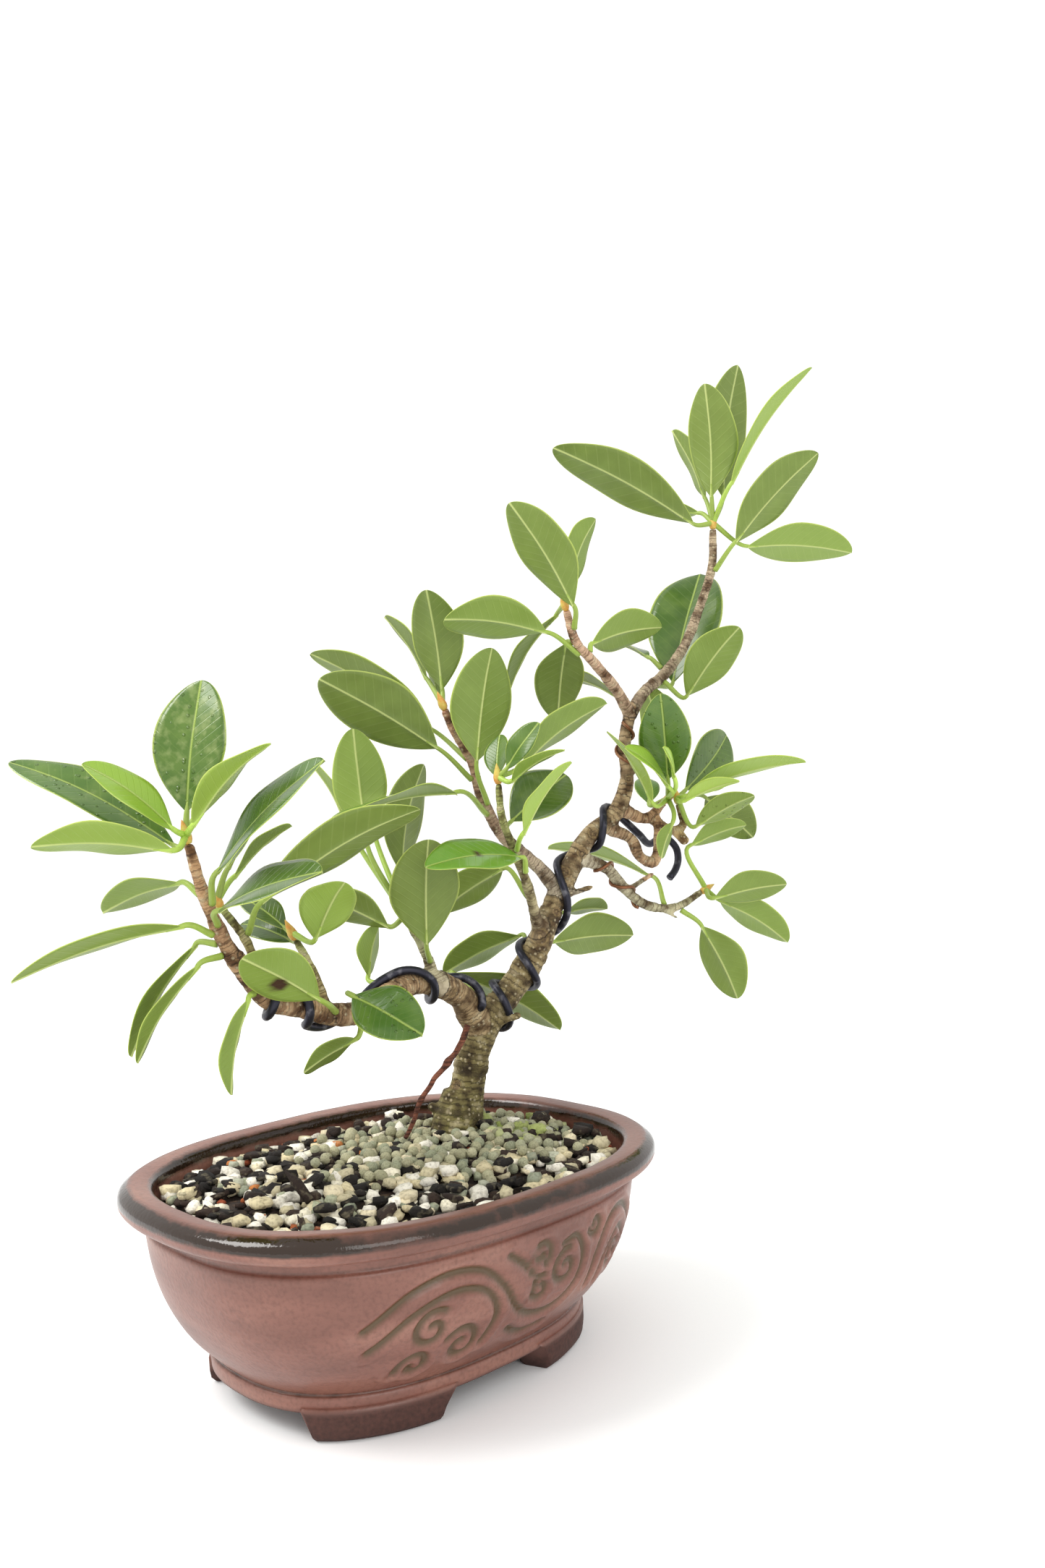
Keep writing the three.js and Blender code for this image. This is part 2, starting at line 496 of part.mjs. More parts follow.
// The rows of the box become the end of the stalk and then the blade's cross-sections.
function leafSolid(start, base, tip, width, turn) {
  const rows = bladeOutline.length;
  const blade = leafAxes(base, tip, turn);
  const stalkWay = base.clone().sub(start).normalize();
  const stalkAcross = blade.across.clone().addScaledVector(stalkWay, -blade.across.dot(stalkWay)).normalize();
  const stalk = { across: stalkAcross, face: stalkAcross.clone().cross(stalkWay) };
  const length = base.distanceTo(tip);
  const leaf = new THREE.BoxGeometry(2, rows, 1, 2, rows, 1);
  const position = leaf.attributes.position;
  for (let i = 0; i < position.count; i++) {
    const row = Math.round(position.getY(i) + rows / 2);
    const share = (row - 1) / (rows - 1);
    const onStalk = row === 0;
    const { across, face } = onStalk ? stalk : blade;
    const halfWidth = onStalk ? STALK_RADIUS : width / 2 * bladeOutline[row - 1];
    const thickness = onStalk ? 2 * STALK_RADIUS : BLADE_THICKNESS;
    const sideways = position.getX(i) * halfWidth;
    const lift = onStalk ? 0 : 0.16 * Math.abs(sideways) + 0.05 * length * Math.sin(Math.PI * share);
    const point = onStalk ? start.clone() : base.clone().lerp(tip, share);
    point.addScaledVector(across, sideways).addScaledVector(face, position.getZ(i) * thickness + lift);
    position.setXYZ(i, point.x, point.y, point.z);
  }
  return solid(leaf);
}

function budCentre(shootName) {
  const tangent = paths[shootName].getTangentAt(1);
  return paths[shootName].getPointAt(1).addScaledVector(tangent, BUD_RADIUS * BUD_STRETCH + GAP);
}

function direction([heading, rise]) {
  const [turn, lift] = [THREE.MathUtils.degToRad(heading), THREE.MathUtils.degToRad(rise)];
  return new THREE.Vector3(Math.cos(turn) * Math.cos(lift), Math.sin(turn) * Math.cos(lift), Math.sin(lift));
}

function stalkStart(shootName, share, way) {
  if (share === 1) return budCentre(shootName);
  const tangent = paths[shootName].getTangentAt(share);
  const outward = way.clone().addScaledVector(tangent, -way.dot(tangent)).normalize();
  const reach = shootRadius(shootName, share) * KNOT + STALK_RADIUS + GAP;
  return paths[shootName].getPointAt(share).addScaledVector(outward, reach);
}

const whorls = {};
for (const [name, shootName, share, stalk, blade, width, turn] of leaves) {
  const start = stalkStart(shootName, share, direction(stalk));
  const base = start.clone().addScaledVector(direction(stalk), stalk[2]);
  const tip = base.clone().addScaledVector(direction(blade), blade[2]);
  const leaf = leafSolid(start, base, tip, width, turn);
  if (share === 1) (whorls[shootName] ??= []).push(leaf);
  else add(`leaf_${name}`, geometryOf(leaf), darkLeaf());
}
for (const [shootName, members] of Object.entries(whorls)) {
  const bud = ball(BUD_RADIUS, budCentre(shootName).toArray(), BUD_STRETCH);
  add(`whorl_${shootName}`, geometryOf(union([bud, ...members])), limeLeaf());
}

// ---- stand the whole object on the origin ----
const box = new THREE.Box3().setFromObject(group);
const middle = box.getCenter(new THREE.Vector3());
group.position.set(-middle.x, -middle.y, -box.min.z);

export default group;
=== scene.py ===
import math
import random
from functools import partial

import bmesh
import bpy
import numpy as np
from mathutils import Matrix, Vector, kdtree, noise


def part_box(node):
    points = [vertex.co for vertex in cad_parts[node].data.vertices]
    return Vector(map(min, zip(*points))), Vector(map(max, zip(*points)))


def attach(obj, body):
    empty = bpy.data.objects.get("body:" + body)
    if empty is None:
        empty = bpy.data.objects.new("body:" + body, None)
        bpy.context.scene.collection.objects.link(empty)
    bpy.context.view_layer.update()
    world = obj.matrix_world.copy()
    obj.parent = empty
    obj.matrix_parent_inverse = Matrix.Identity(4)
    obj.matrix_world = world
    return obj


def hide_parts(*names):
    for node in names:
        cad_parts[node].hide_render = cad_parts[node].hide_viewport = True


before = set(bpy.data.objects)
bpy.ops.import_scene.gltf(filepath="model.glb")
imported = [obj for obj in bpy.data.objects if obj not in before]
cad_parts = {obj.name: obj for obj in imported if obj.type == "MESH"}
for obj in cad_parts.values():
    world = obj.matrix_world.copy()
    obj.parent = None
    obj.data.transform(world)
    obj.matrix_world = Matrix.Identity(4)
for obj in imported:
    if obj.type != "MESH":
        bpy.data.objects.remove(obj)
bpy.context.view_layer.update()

# A small fig-like bonsai in a shallow oval stoneware pot. Lists and sizes are in millimetres from the
# middle of the pot on the surface that it stands on, with the pot's front towards -Y. place() turns them
# into the frame's metres.
MM = 0.001
POT_LOW, POT_HIGH = (Vector(corner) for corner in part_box("pot"))
POT_MIDDLE = Vector(((POT_LOW.x + POT_HIGH.x) / 2, (POT_LOW.y + POT_HIGH.y) / 2, 0))
POT_HALF_LENGTH = (POT_HIGH.x - POT_LOW.x) / 2 / MM
POT_HALF_WIDTH = (POT_HIGH.y - POT_LOW.y) / 2 / MM
POT_SQUARENESS = 2.5            # the power of the pot's oval: 2 is an ellipse, and more is squarer
FOOT_HEIGHT = 9
FLOOR_TOP = 16
SOIL_TOP = 65
RIM_WIDTH = 12.4
WIRE_RADIUS = 1.7
THIN_WIRE_RADIUS = 0.75
STALK_RADIUS = 0.8
BUD_REACH = 2.8                 # from a shoot's end to the middle of its bud
DRAIN_REACH = 34                # from the pot's middle to each drain hole's
DRAIN_RADIUS = 8
TRUNK_FOOT = (44, 20)
CAMERA_SPOT = (-282.6, -367.2, 197)
TREE_MIDDLE = Vector((0, 0, 0.18))      # in metres: where the lights point
random.seed(7)


def place(point):
    """A point in millimetres from the pot's middle, in the frame's metres."""
    return POT_MIDDLE + Vector(point) * MM


def put_in_scene(name, data):
    """A new object with this data, in the scene."""
    made = bpy.data.objects.new(name, data)
    bpy.context.scene.collection.objects.link(made)
    return made


# ---- camera, floor and light ----
def make_camera():
    """A camera a little above the lip, off the pot's left front corner."""
    data = bpy.data.cameras.new("camera")
    data.sensor_width = 36
    data.lens = 27.7
    data.clip_end = 100
    camera = put_in_scene("camera", data)
    yaw, pitch, roll = 0.768, 0.032, -0.036
    forward = Vector((math.sin(yaw) * math.cos(pitch), math.cos(yaw) * math.cos(pitch), math.sin(pitch)))
    right = forward.cross(Vector((0, 0, 1))).normalized()
    up = right.cross(forward)
    rolled_right = right * math.cos(roll) + up * math.sin(roll)
    rolled_up = up * math.cos(roll) - right * math.sin(roll)
    turn = Matrix((rolled_right, rolled_up, -forward)).transposed()
    camera.matrix_world = Matrix.Translation(place(CAMERA_SPOT)) @ turn.to_4x4()
    bpy.context.scene.camera = camera


def make_light(name, where, size, power, colour):
    """A square soft box that faces the tree."""
    data = bpy.data.lights.new(name, "AREA")
    data.size = size
    data.energy = power
    data.color = colour
    light = put_in_scene(name, data)
    light.location = where
    light.rotation_mode = "QUATERNION"
    light.rotation_quaternion = (TREE_MIDDLE - light.location).to_track_quat("-Z", "Y")


def make_stage(floor_material):
    """A wide white floor, a bright even sky, a large window light behind to the left, and a front fill."""
    bm = bmesh.new()
    bmesh.ops.create_grid(bm, x_segments=1, y_segments=1, size=25)
    mesh = plain_mesh(bm, "floor")
    mesh.materials.append(floor_material)
    floor = put_in_scene("floor", mesh)
    world = bpy.data.worlds.new("studio")
    bpy.context.scene.world = world
    world.use_nodes = True
    sky = world.node_tree.nodes["Background"]
    sky.inputs["Color"].default_value = (1.0, 0.99, 0.97, 1)
    sky.inputs["Strength"].default_value = 1.12
    make_light("window", (-1.1, 0.6, 1.5), 0.9, 26, (1.0, 0.98, 0.95))
    make_light("front_fill", (-0.5, -1.6, 0.9), 1.0, 9, (1.0, 0.99, 0.97))
    bpy.context.scene.view_settings.view_transform = "Standard"


# ---- nodes and materials ----
def srgb(code):
    """An sRGB hex colour as linear RGBA."""
    channels = [int(code[i:i + 2], 16) / 255 for i in (0, 2, 4)]
    linear = [c / 12.92 if c <= 0.04045 else ((c + 0.055) / 1.055) ** 2.4 for c in channels]
    return (*linear, 1.0)


def per(size):
    """The scale of a pattern whose features are size millimetres."""
    return 1 / (size * MM)


def add_node(material, kind, inputs=None, output=0, stops=(), **settings):
    """Adds a node with its settings, ramp stops and inputs, and returns one of its outputs."""
    node = material.node_tree.nodes.new("ShaderNode" + kind)
    for name, value in settings.items():
        setattr(node, name, value)
    for index, (position, colour) in enumerate(stops):
        elements = node.color_ramp.elements
        element = elements[index] if index < 2 else elements.new(position)
        element.position = position
        element.color = srgb(colour)
    connect(material, node, inputs or {})
    return node.outputs[output]


def connect(material, node, inputs):
    """Links each input that is another node's socket, and sets the rest."""
    for socket, value in inputs.items():
        if isinstance(value, bpy.types.NodeSocket):
            material.node_tree.links.new(value, node.inputs[socket])
        else:
            node.inputs[socket].default_value = value


def new_material(name, **fixed):
    """A material, its shader with some numbers set, its own add_node, and the place on the object."""
    material = bpy.data.materials.new(name)
    material.use_nodes = True
    shader = material.node_tree.nodes["Principled BSDF"]
    connect(material, shader, {socket.replace("_", " "): value for socket, value in fixed.items()})
    add = partial(add_node, material)
    return material, shader, add, add("TexCoord", output="Object")


# Settings of a node that mixes colours, and of one that multiplies them. Both give their colour at output 2
# and take the factor at input 0 and the colours at 6 and 7.
MIX = {"output": 2, "data_type": "RGBA"}
MULTIPLY = {"output": 2, "data_type": "RGBA", "blend_type": "MULTIPLY"}


def held(value, low, high, to_low=0.0, to_high=1.0):
    """The inputs that bring a value from low..high to to_low..to_high and hold it at the ends."""
    return {"Value": value, "From Min": low, "From Max": high, "To Min": to_low, "To Max": to_high}


def glazed_stoneware():
    """Satin iron glaze on stoneware: mauve brown with soft clouds, breaking to a dark, glossy olive black on
    the lip's corners, pooled olive in the carving, and bare dark clay on the feet."""
    material, shader, add, spot = new_material("glazed_stoneware", IOR=1.5)
    flat = add("Mapping", {"Vector": spot, "Scale": (0.45, 0.45, 1.4)})
    clouds = add("TexNoise", {"Vector": flat, "Scale": per(22), "Detail": 4.0})
    fine = add("TexNoise", {"Vector": spot, "Scale": per(1.4), "Detail": 2.0})
    ragged = add("TexNoise", {"Vector": spot, "Scale": per(5), "Detail": 5.0})
    body = add("ValToRGB", {"Fac": clouds}, stops=[(0.32, "694237"), (0.5, "7B5044"), (0.7, "8E6456")])
    specks = add("MapRange", held(fine, 0.45, 0.75, 0, 0.4))
    grainy = add("Mix", {0: specks, 6: body, 7: srgb("4F2D23")}, **MIX)
    on_edge = add("Attribute", attribute_name="break", output="Fac")
    torn = add("MapRange", held(clouds, 0.3, 0.65, 0.75, 1.35))
    frayed = add("MapRange", held(ragged, 0.3, 0.7, 0.8, 1.2))
    uneven = add("Math", {0: torn, 1: frayed}, operation="MULTIPLY")
    worn = add("Math", {0: on_edge, 1: uneven}, operation="MULTIPLY")
    broken = add("MapRange", held(worn, 0.25, 0.85))
    edged = add("Mix", {0: broken, 6: grainy, 7: srgb("241509")}, **MIX)
    carved = add("Attribute", attribute_name="carved", output="Fac")
    pooled = add("MapRange", held(carved, 0.1, 0.7, 0, 0.9))
    olive = add("Mix", {0: pooled, 6: edged, 7: srgb("4A3A1E")}, **MIX)
    bare = add("Attribute", attribute_name="bare", output="Fac")
    clay_grain = add("MapRange", held(fine, 0.3, 0.7))
    clay = add("Mix", {0: clay_grain, 6: srgb("3A231D"), 7: srgb("4D2F28")}, **MIX)
    satin = add("MapRange", held(broken, 0, 1, 0.36, 0.12))
    rough_clay = add("Math", {0: bare, 1: 0.85}, operation="MULTIPLY")
    waves = add("Bump", {"Height": clouds, "Distance": 0.5 * MM})
    connect(material, shader, {
        "Base Color": add("Mix", {0: bare, 6: olive, 7: clay}, **MIX),
        "Roughness": add("Math", {0: satin, 1: rough_clay}, operation="MAXIMUM"),
        "Normal": add("Bump", {"Height": fine, "Distance": 0.1 * MM, "Normal": waves}),
    })
    return material


def live_bark(name, pale, dark):
    """Thin grey-brown bark with fine crosswise rings, small pale corky dots and dark cracks."""
    material, shader, add, spot = new_material(name, Roughness=0.82, IOR=1.45)
    tint = add("Attribute", attribute_name="tint", output="Color")
    along = add("Attribute", attribute_name="along", output="Fac")
    scar = add("Attribute", attribute_name="scar", output="Fac")
    patches = add("TexNoise", {"Vector": spot, "Scale": per(6), "Detail": 5.0})
    rings = add("TexNoise", {"W": along, "Scale": 0.9, "Detail": 4.0}, noise_dimensions="1D")
    dots = add("TexVoronoi", {"Vector": spot, "Scale": per(2.6)})
    dark_patch = add("MapRange", held(patches, 0.45, 0.64, 0, 0.95))
    mottled = add("Mix", {0: dark_patch, 6: tint, 7: srgb(dark)}, **MULTIPLY)
    dark_ring = add("MapRange", held(rings, 0.5, 0.6, 0, 0.6))
    ringed = add("Mix", {0: dark_ring, 6: mottled, 7: srgb(dark)}, **MULTIPLY)
    cork = add("MapRange", held(dots, 0.12, 0.3, 0.6, 0))
    corky = add("Mix", {0: cork, 6: ringed, 7: srgb(pale)}, **MIX)
    flaking = add("MapRange", held(patches, 0.3, 0.44, 0.55, 0))
    flaked = add("Mix", {0: flaking, 6: corky, 7: srgb(pale)}, **MIX)
    healed = add("MapRange", held(scar, 0.02, 0.12, 0, 0.8))
    cut_rings = add("ValToRGB", {"Fac": scar}, stops=[(0.0, "3E2C1E"), (0.2, "8A744E"), (0.45, "4E3B28"),
                                                      (0.8, "97805A")])
    patch_relief = add("Bump", {"Height": patches, "Distance": 1.2 * MM})
    ring_relief = add("Bump", {"Height": rings, "Distance": 1.1 * MM, "Normal": patch_relief})
    connect(material, shader, {
        "Base Color": add("Mix", {0: healed, 6: flaked, 7: cut_rings}, **MIX),
        "Normal": add("Bump", {"Height": cork, "Distance": 0.4 * MM, "Normal": ring_relief}),
    })
    return material


def blade_surface(name, greens, rib_colour, gloss, rib_sunk):
    """A waxy leaf skin: its green runs with the leaf's age, paler midrib, veins and margin, fine cells,
    powdery marks where it is old, and beads of water where it is wet."""
    material, shader, add, spot = new_material(name, IOR=1.45, Coat_Weight=0.15 if rib_sunk else 0.0)
    layer = {layer_name: add("Attribute", attribute_name=layer_name, output="Fac") for layer_name in LAYERS}
    age = add("ValToRGB", {"Fac": layer["youth"]}, stops=greens)
    darker = add("MapRange", held(layer["shade"], 0, 1, 0, 0.4))
    toned = add("Mix", {0: darker, 6: age, 7: srgb("46541C")}, **MIX)
    patches = add("TexNoise", {"Vector": spot, "Scale": per(9), "Detail": 3.0})
    pale_patch = add("MapRange", held(patches, 0.42, 0.75, 0, 0.18))
    mottled = add("Mix", {0: pale_patch, 6: toned, 7: srgb("8FA650")}, **MIX)
    vein_gap = add("Math", {0: layer["vein"], 1: 0.5}, operation="PINGPONG")
    vein = add("MapRange", held(vein_gap, 0.01, 0.09, 1, 0))
    from_rib = add("Math", {0: layer["off_rib"]}, operation="ABSOLUTE")
    rib = add("MapRange", held(from_rib, 0.2, 0.62, 1, 0))
    vein_share = add("Math", {0: vein, 1: 0.06}, operation="MULTIPLY")
    veined = add("Mix", {0: vein_share, 6: mottled, 7: srgb(rib_colour)}, **MIX)
    rib_share = add("Math", {0: rib, 1: 0.75}, operation="MULTIPLY")
    ribbed = add("Mix", {0: rib_share, 6: veined, 7: srgb(rib_colour)}, **MIX)
    margin = add("MapRange", held(layer["margin"], 0.94, 1.0, 0, 0.8))
    rimmed = add("Mix", {0: margin, 6: ribbed, 7: srgb("BBCB62")}, **MIX)
    dust = add("TexNoise", {"Vector": spot, "Scale": per(3.5), "Detail": 6.0})
    dust_here = add("Math", {0: dust, 1: layer["powder"]}, operation="MULTIPLY")
    powder = add("MapRange", held(dust_here, 0.48, 0.7, 0, 0.42))
    dusty = add("Mix", {0: powder, 6: rimmed, 7: srgb("9AA46C")}, **MIX)
    drops = add("TexVoronoi", {"Vector": spot, "Scale": per(3)})
    round_drops = add("MapRange", held(drops, 0.1, 0.24, 1, 0))
    beads = add("Math", {0: round_drops, 1: layer["wet"]}, operation="MULTIPLY")
    # Real leaf cells are far finer. They are drawn coarse enough to dull the shine a little.
    cells = add("TexNoise", {"Vector": spot, "Scale": per(0.7), "Detail": 2.0})
    veins_relief = add("Bump", {"Height": vein, "Distance": 0.05 * MM}, invert=rib_sunk)
    rib_relief = add("Bump", {"Height": rib, "Distance": 0.3 * MM, "Normal": veins_relief}, invert=rib_sunk)
    cell_relief = add("Bump", {"Height": cells, "Distance": 0.012 * MM, "Normal": rib_relief})
    connect(material, shader, {
        "Base Color": add("Mix", {0: layer["blemish"], 6: dusty, 7: srgb("3A2414")}, **MIX),
        "Roughness": add("MapRange", held(beads, 0, 1, gloss, 0.05)),
        "Normal": add("Bump", {"Height": beads, "Distance": 0.5 * MM, "Normal": cell_relief}),
    })
    return material


def leaf_stalk():
    """A smooth green stalk, paler when young, with brownish flecks."""
    material, shader, add, spot = new_material("leaf_stalk", Roughness=0.42, IOR=1.45)
    youth = add("Attribute", attribute_name="youth", output="Fac")
    age = add("ValToRGB", {"Fac": youth}, stops=[(0.0, "879A45"), (0.6, "9DB84C"), (1.0, "B4D35C")])
    grain = add("TexNoise", {"Vector": spot, "Scale": per(1.5), "Detail": 2.0})
    flecks = add("MapRange", held(grain, 0.5, 0.75, 0, 0.35))
    connect(material, shader, {
        "Base Color": add("Mix", {0: flecks, 6: age, 7: srgb("7C8A46")}, **MIX),
        "Normal": add("Bump", {"Height": grain, "Distance": 0.1 * MM}),
    })
    return material


def bud_sheath():
    """The papery sheath of a resting bud, orange to yellow green, with fine wrinkles."""
    material, shader, add, spot = new_material("bud_sheath", Roughness=0.5, IOR=1.45)
    blush = add("TexNoise", {"Vector": spot, "Scale": per(2.5), "Detail": 3.0})
    wrinkles = add("TexNoise", {"Vector": spot, "Scale": per(0.8), "Detail": 2.0})
    connect(material, shader, {
        "Base Color": add("ValToRGB", {"Fac": blush}, stops=[(0.35, "C98A3E"), (0.65, "C9B85A")]),
        "Normal": add("Bump", {"Height": wrinkles, "Distance": 0.15 * MM}),
    })
    return material


def anodised_aluminium(name, colour, worn):
    """Soft aluminium wire with a thin anodised skin, scuffed paler where pliers and bark rubbed it."""
    material, shader, add, spot = new_material(name, Metallic=0.75)
    rubbed = add("TexNoise", {"Vector": spot, "Scale": per(4), "Detail": 5.0})
    scuffs = add("MapRange", held(rubbed, 0.55, 0.72))
    dents = add("TexNoise", {"Vector": spot, "Scale": per(1.5), "Detail": 3.0})
    connect(material, shader, {
        "Base Color": add("Mix", {0: scuffs, 6: srgb(colour), 7: srgb(worn)}, **MIX),
        "Roughness": add("MapRange", held(scuffs, 0, 1, 0.4, 0.6)),
        "Normal": add("Bump", {"Height": dents, "Distance": 0.06 * MM}),
    })
    return material


def loose_stone(name, pore, roughness):
    """Rough grains in each grain's own colour, with dark pits and pale dust."""
    material, shader, add, spot = new_material(name, Roughness=roughness, IOR=1.45)
    tint = add("Attribute", attribute_name="tint", output="Color")
    pits = add("TexNoise", {"Vector": spot, "Scale": per(pore), "Detail": 4.0})
    dust = add("TexNoise", {"Vector": spot, "Scale": per(3), "Detail": 3.0})
    pit_share = add("MapRange", held(pits, 0.3, 0.52, 0.4, 0))
    pitted = add("Mix", {0: pit_share, 6: tint, 7: srgb("54483A")}, **MULTIPLY)
    dust_share = add("MapRange", held(dust, 0.55, 0.8, 0, 0.3))
    connect(material, shader, {
        "Base Color": add("Mix", {0: dust_share, 6: pitted, 7: srgb("B9AE8E")}, **MIX),
        "Normal": add("Bump", {"Height": pits, "Distance": 0.5 * MM}),
    })
    return material


def damp_soil():
    """Damp, crumbly bark and peat, nearly black."""
    material, shader, add, spot = new_material("damp_soil", Roughness=0.85)
    crumbs = add("TexNoise", {"Vector": spot, "Scale": per(3), "Detail": 6.0})
    connect(material, shader, {
        "Base Color": add("ValToRGB", {"Fac": crumbs}, stops=[(0.35, "17100C"), (0.55, "33241A"),
                                                              (0.75, "5A4432")]),
        "Normal": add("Bump", {"Height": crumbs, "Distance": 1.5 * MM}),
    })
    return material


def black_plastic():
    """Moulded matte black polypropylene mesh with a little dirt."""
    material, shader, add, spot = new_material("black_polypropylene", Roughness=0.6, IOR=1.49)
    grime = add("TexNoise", {"Vector": spot, "Scale": per(4), "Detail": 4.0})
    dirt = add("MapRange", held(grime, 0.5, 0.75, 0, 0.5))
    dirty = add("Mix", {0: dirt, 6: srgb("1B1B1C"), 7: srgb("4A3D30")}, **MIX)
    connect(material, shader, {"Base Color": dirty})
    return material


def white_paper():
    """Matte white background paper with faint flecks, coarser than its real fibres so that they show."""
    material, shader, add, spot = new_material("white_paper", Roughness=0.95)
    fibres = add("TexNoise", {"Vector": spot, "Scale": per(2), "Detail": 3.0})
    flecked = add("Mix", {0: fibres, 6: srgb("F9FBFD"), 7: srgb("FCFDFE")}, **MIX)
    connect(material, shader, {"Base Color": flecked})
    return material


# A leaf's attributes: its age and tone, places on the blade for veins, midrib and margin, and its marks.
LAYERS = ("youth", "shade", "vein", "off_rib", "margin", "powder", "blemish", "wet")
GLAZE = glazed_stoneware()
BARK = live_bark("fig_bark", "C4B797", "7A654C")
ROOT_BARK = live_bark("root_bark", "8A5A44", "4A2C22")
UPPER = blade_surface("fig_leaf_upper", [(0.0, "34541A"), (0.5, "5F8B27"), (1.0, "A2C63F")],
                      "9DB257", 0.28, True)
UNDER = blade_surface("fig_leaf_under", [(0.0, "65762F"), (0.5, "86A043"), (1.0, "AECB57")],
                      "C3CE82", 0.48, False)
STALK = leaf_stalk()
BUD = bud_sheath()
DARK_WIRE = anodised_aluminium("dark_anodised_aluminium", "2E2E38", "6E6D74")
BROWN_WIRE = anodised_aluminium("brown_anodised_aluminium", "7C5238", "AB8464")
STONE = loose_stone("pumice_and_bark_grit", 1.2, 0.9)
PELLET = loose_stone("fertiliser_pellet", 0.6, 0.75)
SOIL = damp_soil()
SCREEN = black_plastic()


# ---- making pieces ----
def add_piece(name, mesh, nodes, materials):
    """Puts a finished mesh in the scene as a piece that stands for the named CAD nodes."""
    for material in materials:
        mesh.materials.append(material)
    mesh.polygons.foreach_set("use_smooth", [True] * len(mesh.polygons))
    piece = put_in_scene(name, mesh)
    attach(piece, "root")
    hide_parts(*nodes)
    return piece


def plain_mesh(bm, name):
    """A bmesh turned into a mesh as it is."""
    mesh = bpy.data.meshes.new(name)
    bm.to_mesh(mesh)
    bm.free()
    return mesh


def mesh_from(bm, name):
    """A mesh in the frame's metres from a bmesh in millimetres."""
    bmesh.ops.transform(bm, matrix=Matrix.Translation(POT_MIDDLE) @ Matrix.Scale(MM, 4), verts=bm.verts)
    return plain_mesh(bm, name)


def copy_into(bm, mesh):
    """Adds a copy of a mesh to a bmesh and returns the copy's vertices and faces."""
    old_verts, old_faces = len(bm.verts), len(bm.faces)
    bm.from_mesh(mesh)
    bm.verts.ensure_lookup_table()
    bm.faces.ensure_lookup_table()
    return bm.verts[old_verts:], bm.faces[old_faces:]


def bmesh_of(mesh):
    """A bmesh of a mesh, in the mesh's own units."""
    bm = bmesh.new()
    bm.from_mesh(mesh)
    return bm


def finished_mesh(holder):
    """The mesh that an object comes out as. The object is taken away."""
    mesh = bpy.data.meshes.new_from_object(holder.evaluated_get(bpy.context.evaluated_depsgraph_get()))
    bpy.data.objects.remove(holder)
    return mesh


def search_tree(points):
    """A tree that finds the nearest of some points and its place among them."""
    tree = kdtree.KDTree(len(points))
    for index, point in enumerate(points):
        tree.insert(point, index)
    tree.balance()
    return tree


def bend(t, start, leave, end, arrive):
    """The place at t, from 0 to 1, on a smooth bend that leaves and arrives in the given directions."""
    return (start * (2 * t ** 3 - 3 * t ** 2 + 1) + leave * (t ** 3 - 2 * t ** 2 + t)
            + end * (3 * t ** 2 - 2 * t ** 3) + arrive * (t ** 3 - t ** 2))


def modified(mesh, name, kind, **settings):
    """A copy of the mesh with one modifier applied."""
    holder = put_in_scene(name, mesh)
    modifier = holder.modifiers.new(kind, kind)
    for key, value in settings.items():
        setattr(modifier, key, value)
    return finished_mesh(holder)


def tubes(routes, sides):
    """A bmesh in millimetres with a closed round tube along each route of (point, radius) pairs."""
    curve = bpy.data.curves.new("route", "CURVE")
    curve.dimensions = "3D"
    curve.bevel_depth = 1
    curve.bevel_resolution = (sides - 4) // 2
    curve.use_fill_caps = True
    for route in routes:
        spline = curve.splines.new("POLY")
        spline.points.add(len(route) - 1)
        for target, (point, radius) in zip(spline.points, route):
            target.co = (*point, 1)
            target.radius = radius
    holder = put_in_scene("route", curve)
    bm = bmesh_of(finished_mesh(holder))
    bmesh.ops.remove_doubles(bm, verts=bm.verts, dist=1e-4)
    bmesh.ops.recalc_face_normals(bm, faces=bm.faces)
    return bm


class Path:
    """A smooth curve through points in millimetres, measured along its length from 0 to 1."""

    STEPS = 24

    def __init__(self, points):
        known = np.array(points, float)
        known = np.vstack([2 * known[0] - known[1], known, 2 * known[-1] - known[-2]])
        dense = [self.span(*known[k - 1:k + 3]) for k in range(1, len(known) - 2)]
        self.points = np.vstack([*dense, known[-2]])
        steps = np.linalg.norm(np.diff(self.points, axis=0), axis=1)
        self.far = np.concatenate([[0], np.cumsum(steps)])
        self.length = self.far[-1]

    def span(self, before, start, end, after):
        """The curve between two points, with the square roots of the distances as knots."""
        gaps = [math.sqrt(max(np.linalg.norm(b - a), 1e-6))
                for a, b in ((before, start), (start, end), (end, after))]
        leave = ((start - before) / gaps[0] - (end - before) / (gaps[0] + gaps[1]) + (end - start) / gaps[1])
        arrive = ((end - start) / gaps[1] - (after - start) / (gaps[1] + gaps[2]) + (after - end) / gaps[2])
        t = np.linspace(0, 1, self.STEPS, endpoint=False)[:, None]
        return bend(t, start, leave * gaps[1], end, arrive * gaps[1])

    def at(self, share):
        """The point that share of the way along."""
        far = share * self.length
        return Vector([np.interp(far, self.far, self.points[:, axis]) for axis in range(3)])

    def way(self, share):
        """The direction of the curve at that share of its length."""
        return (self.at(min(share + 0.004, 1)) - self.at(max(share - 0.004, 0))).normalized()


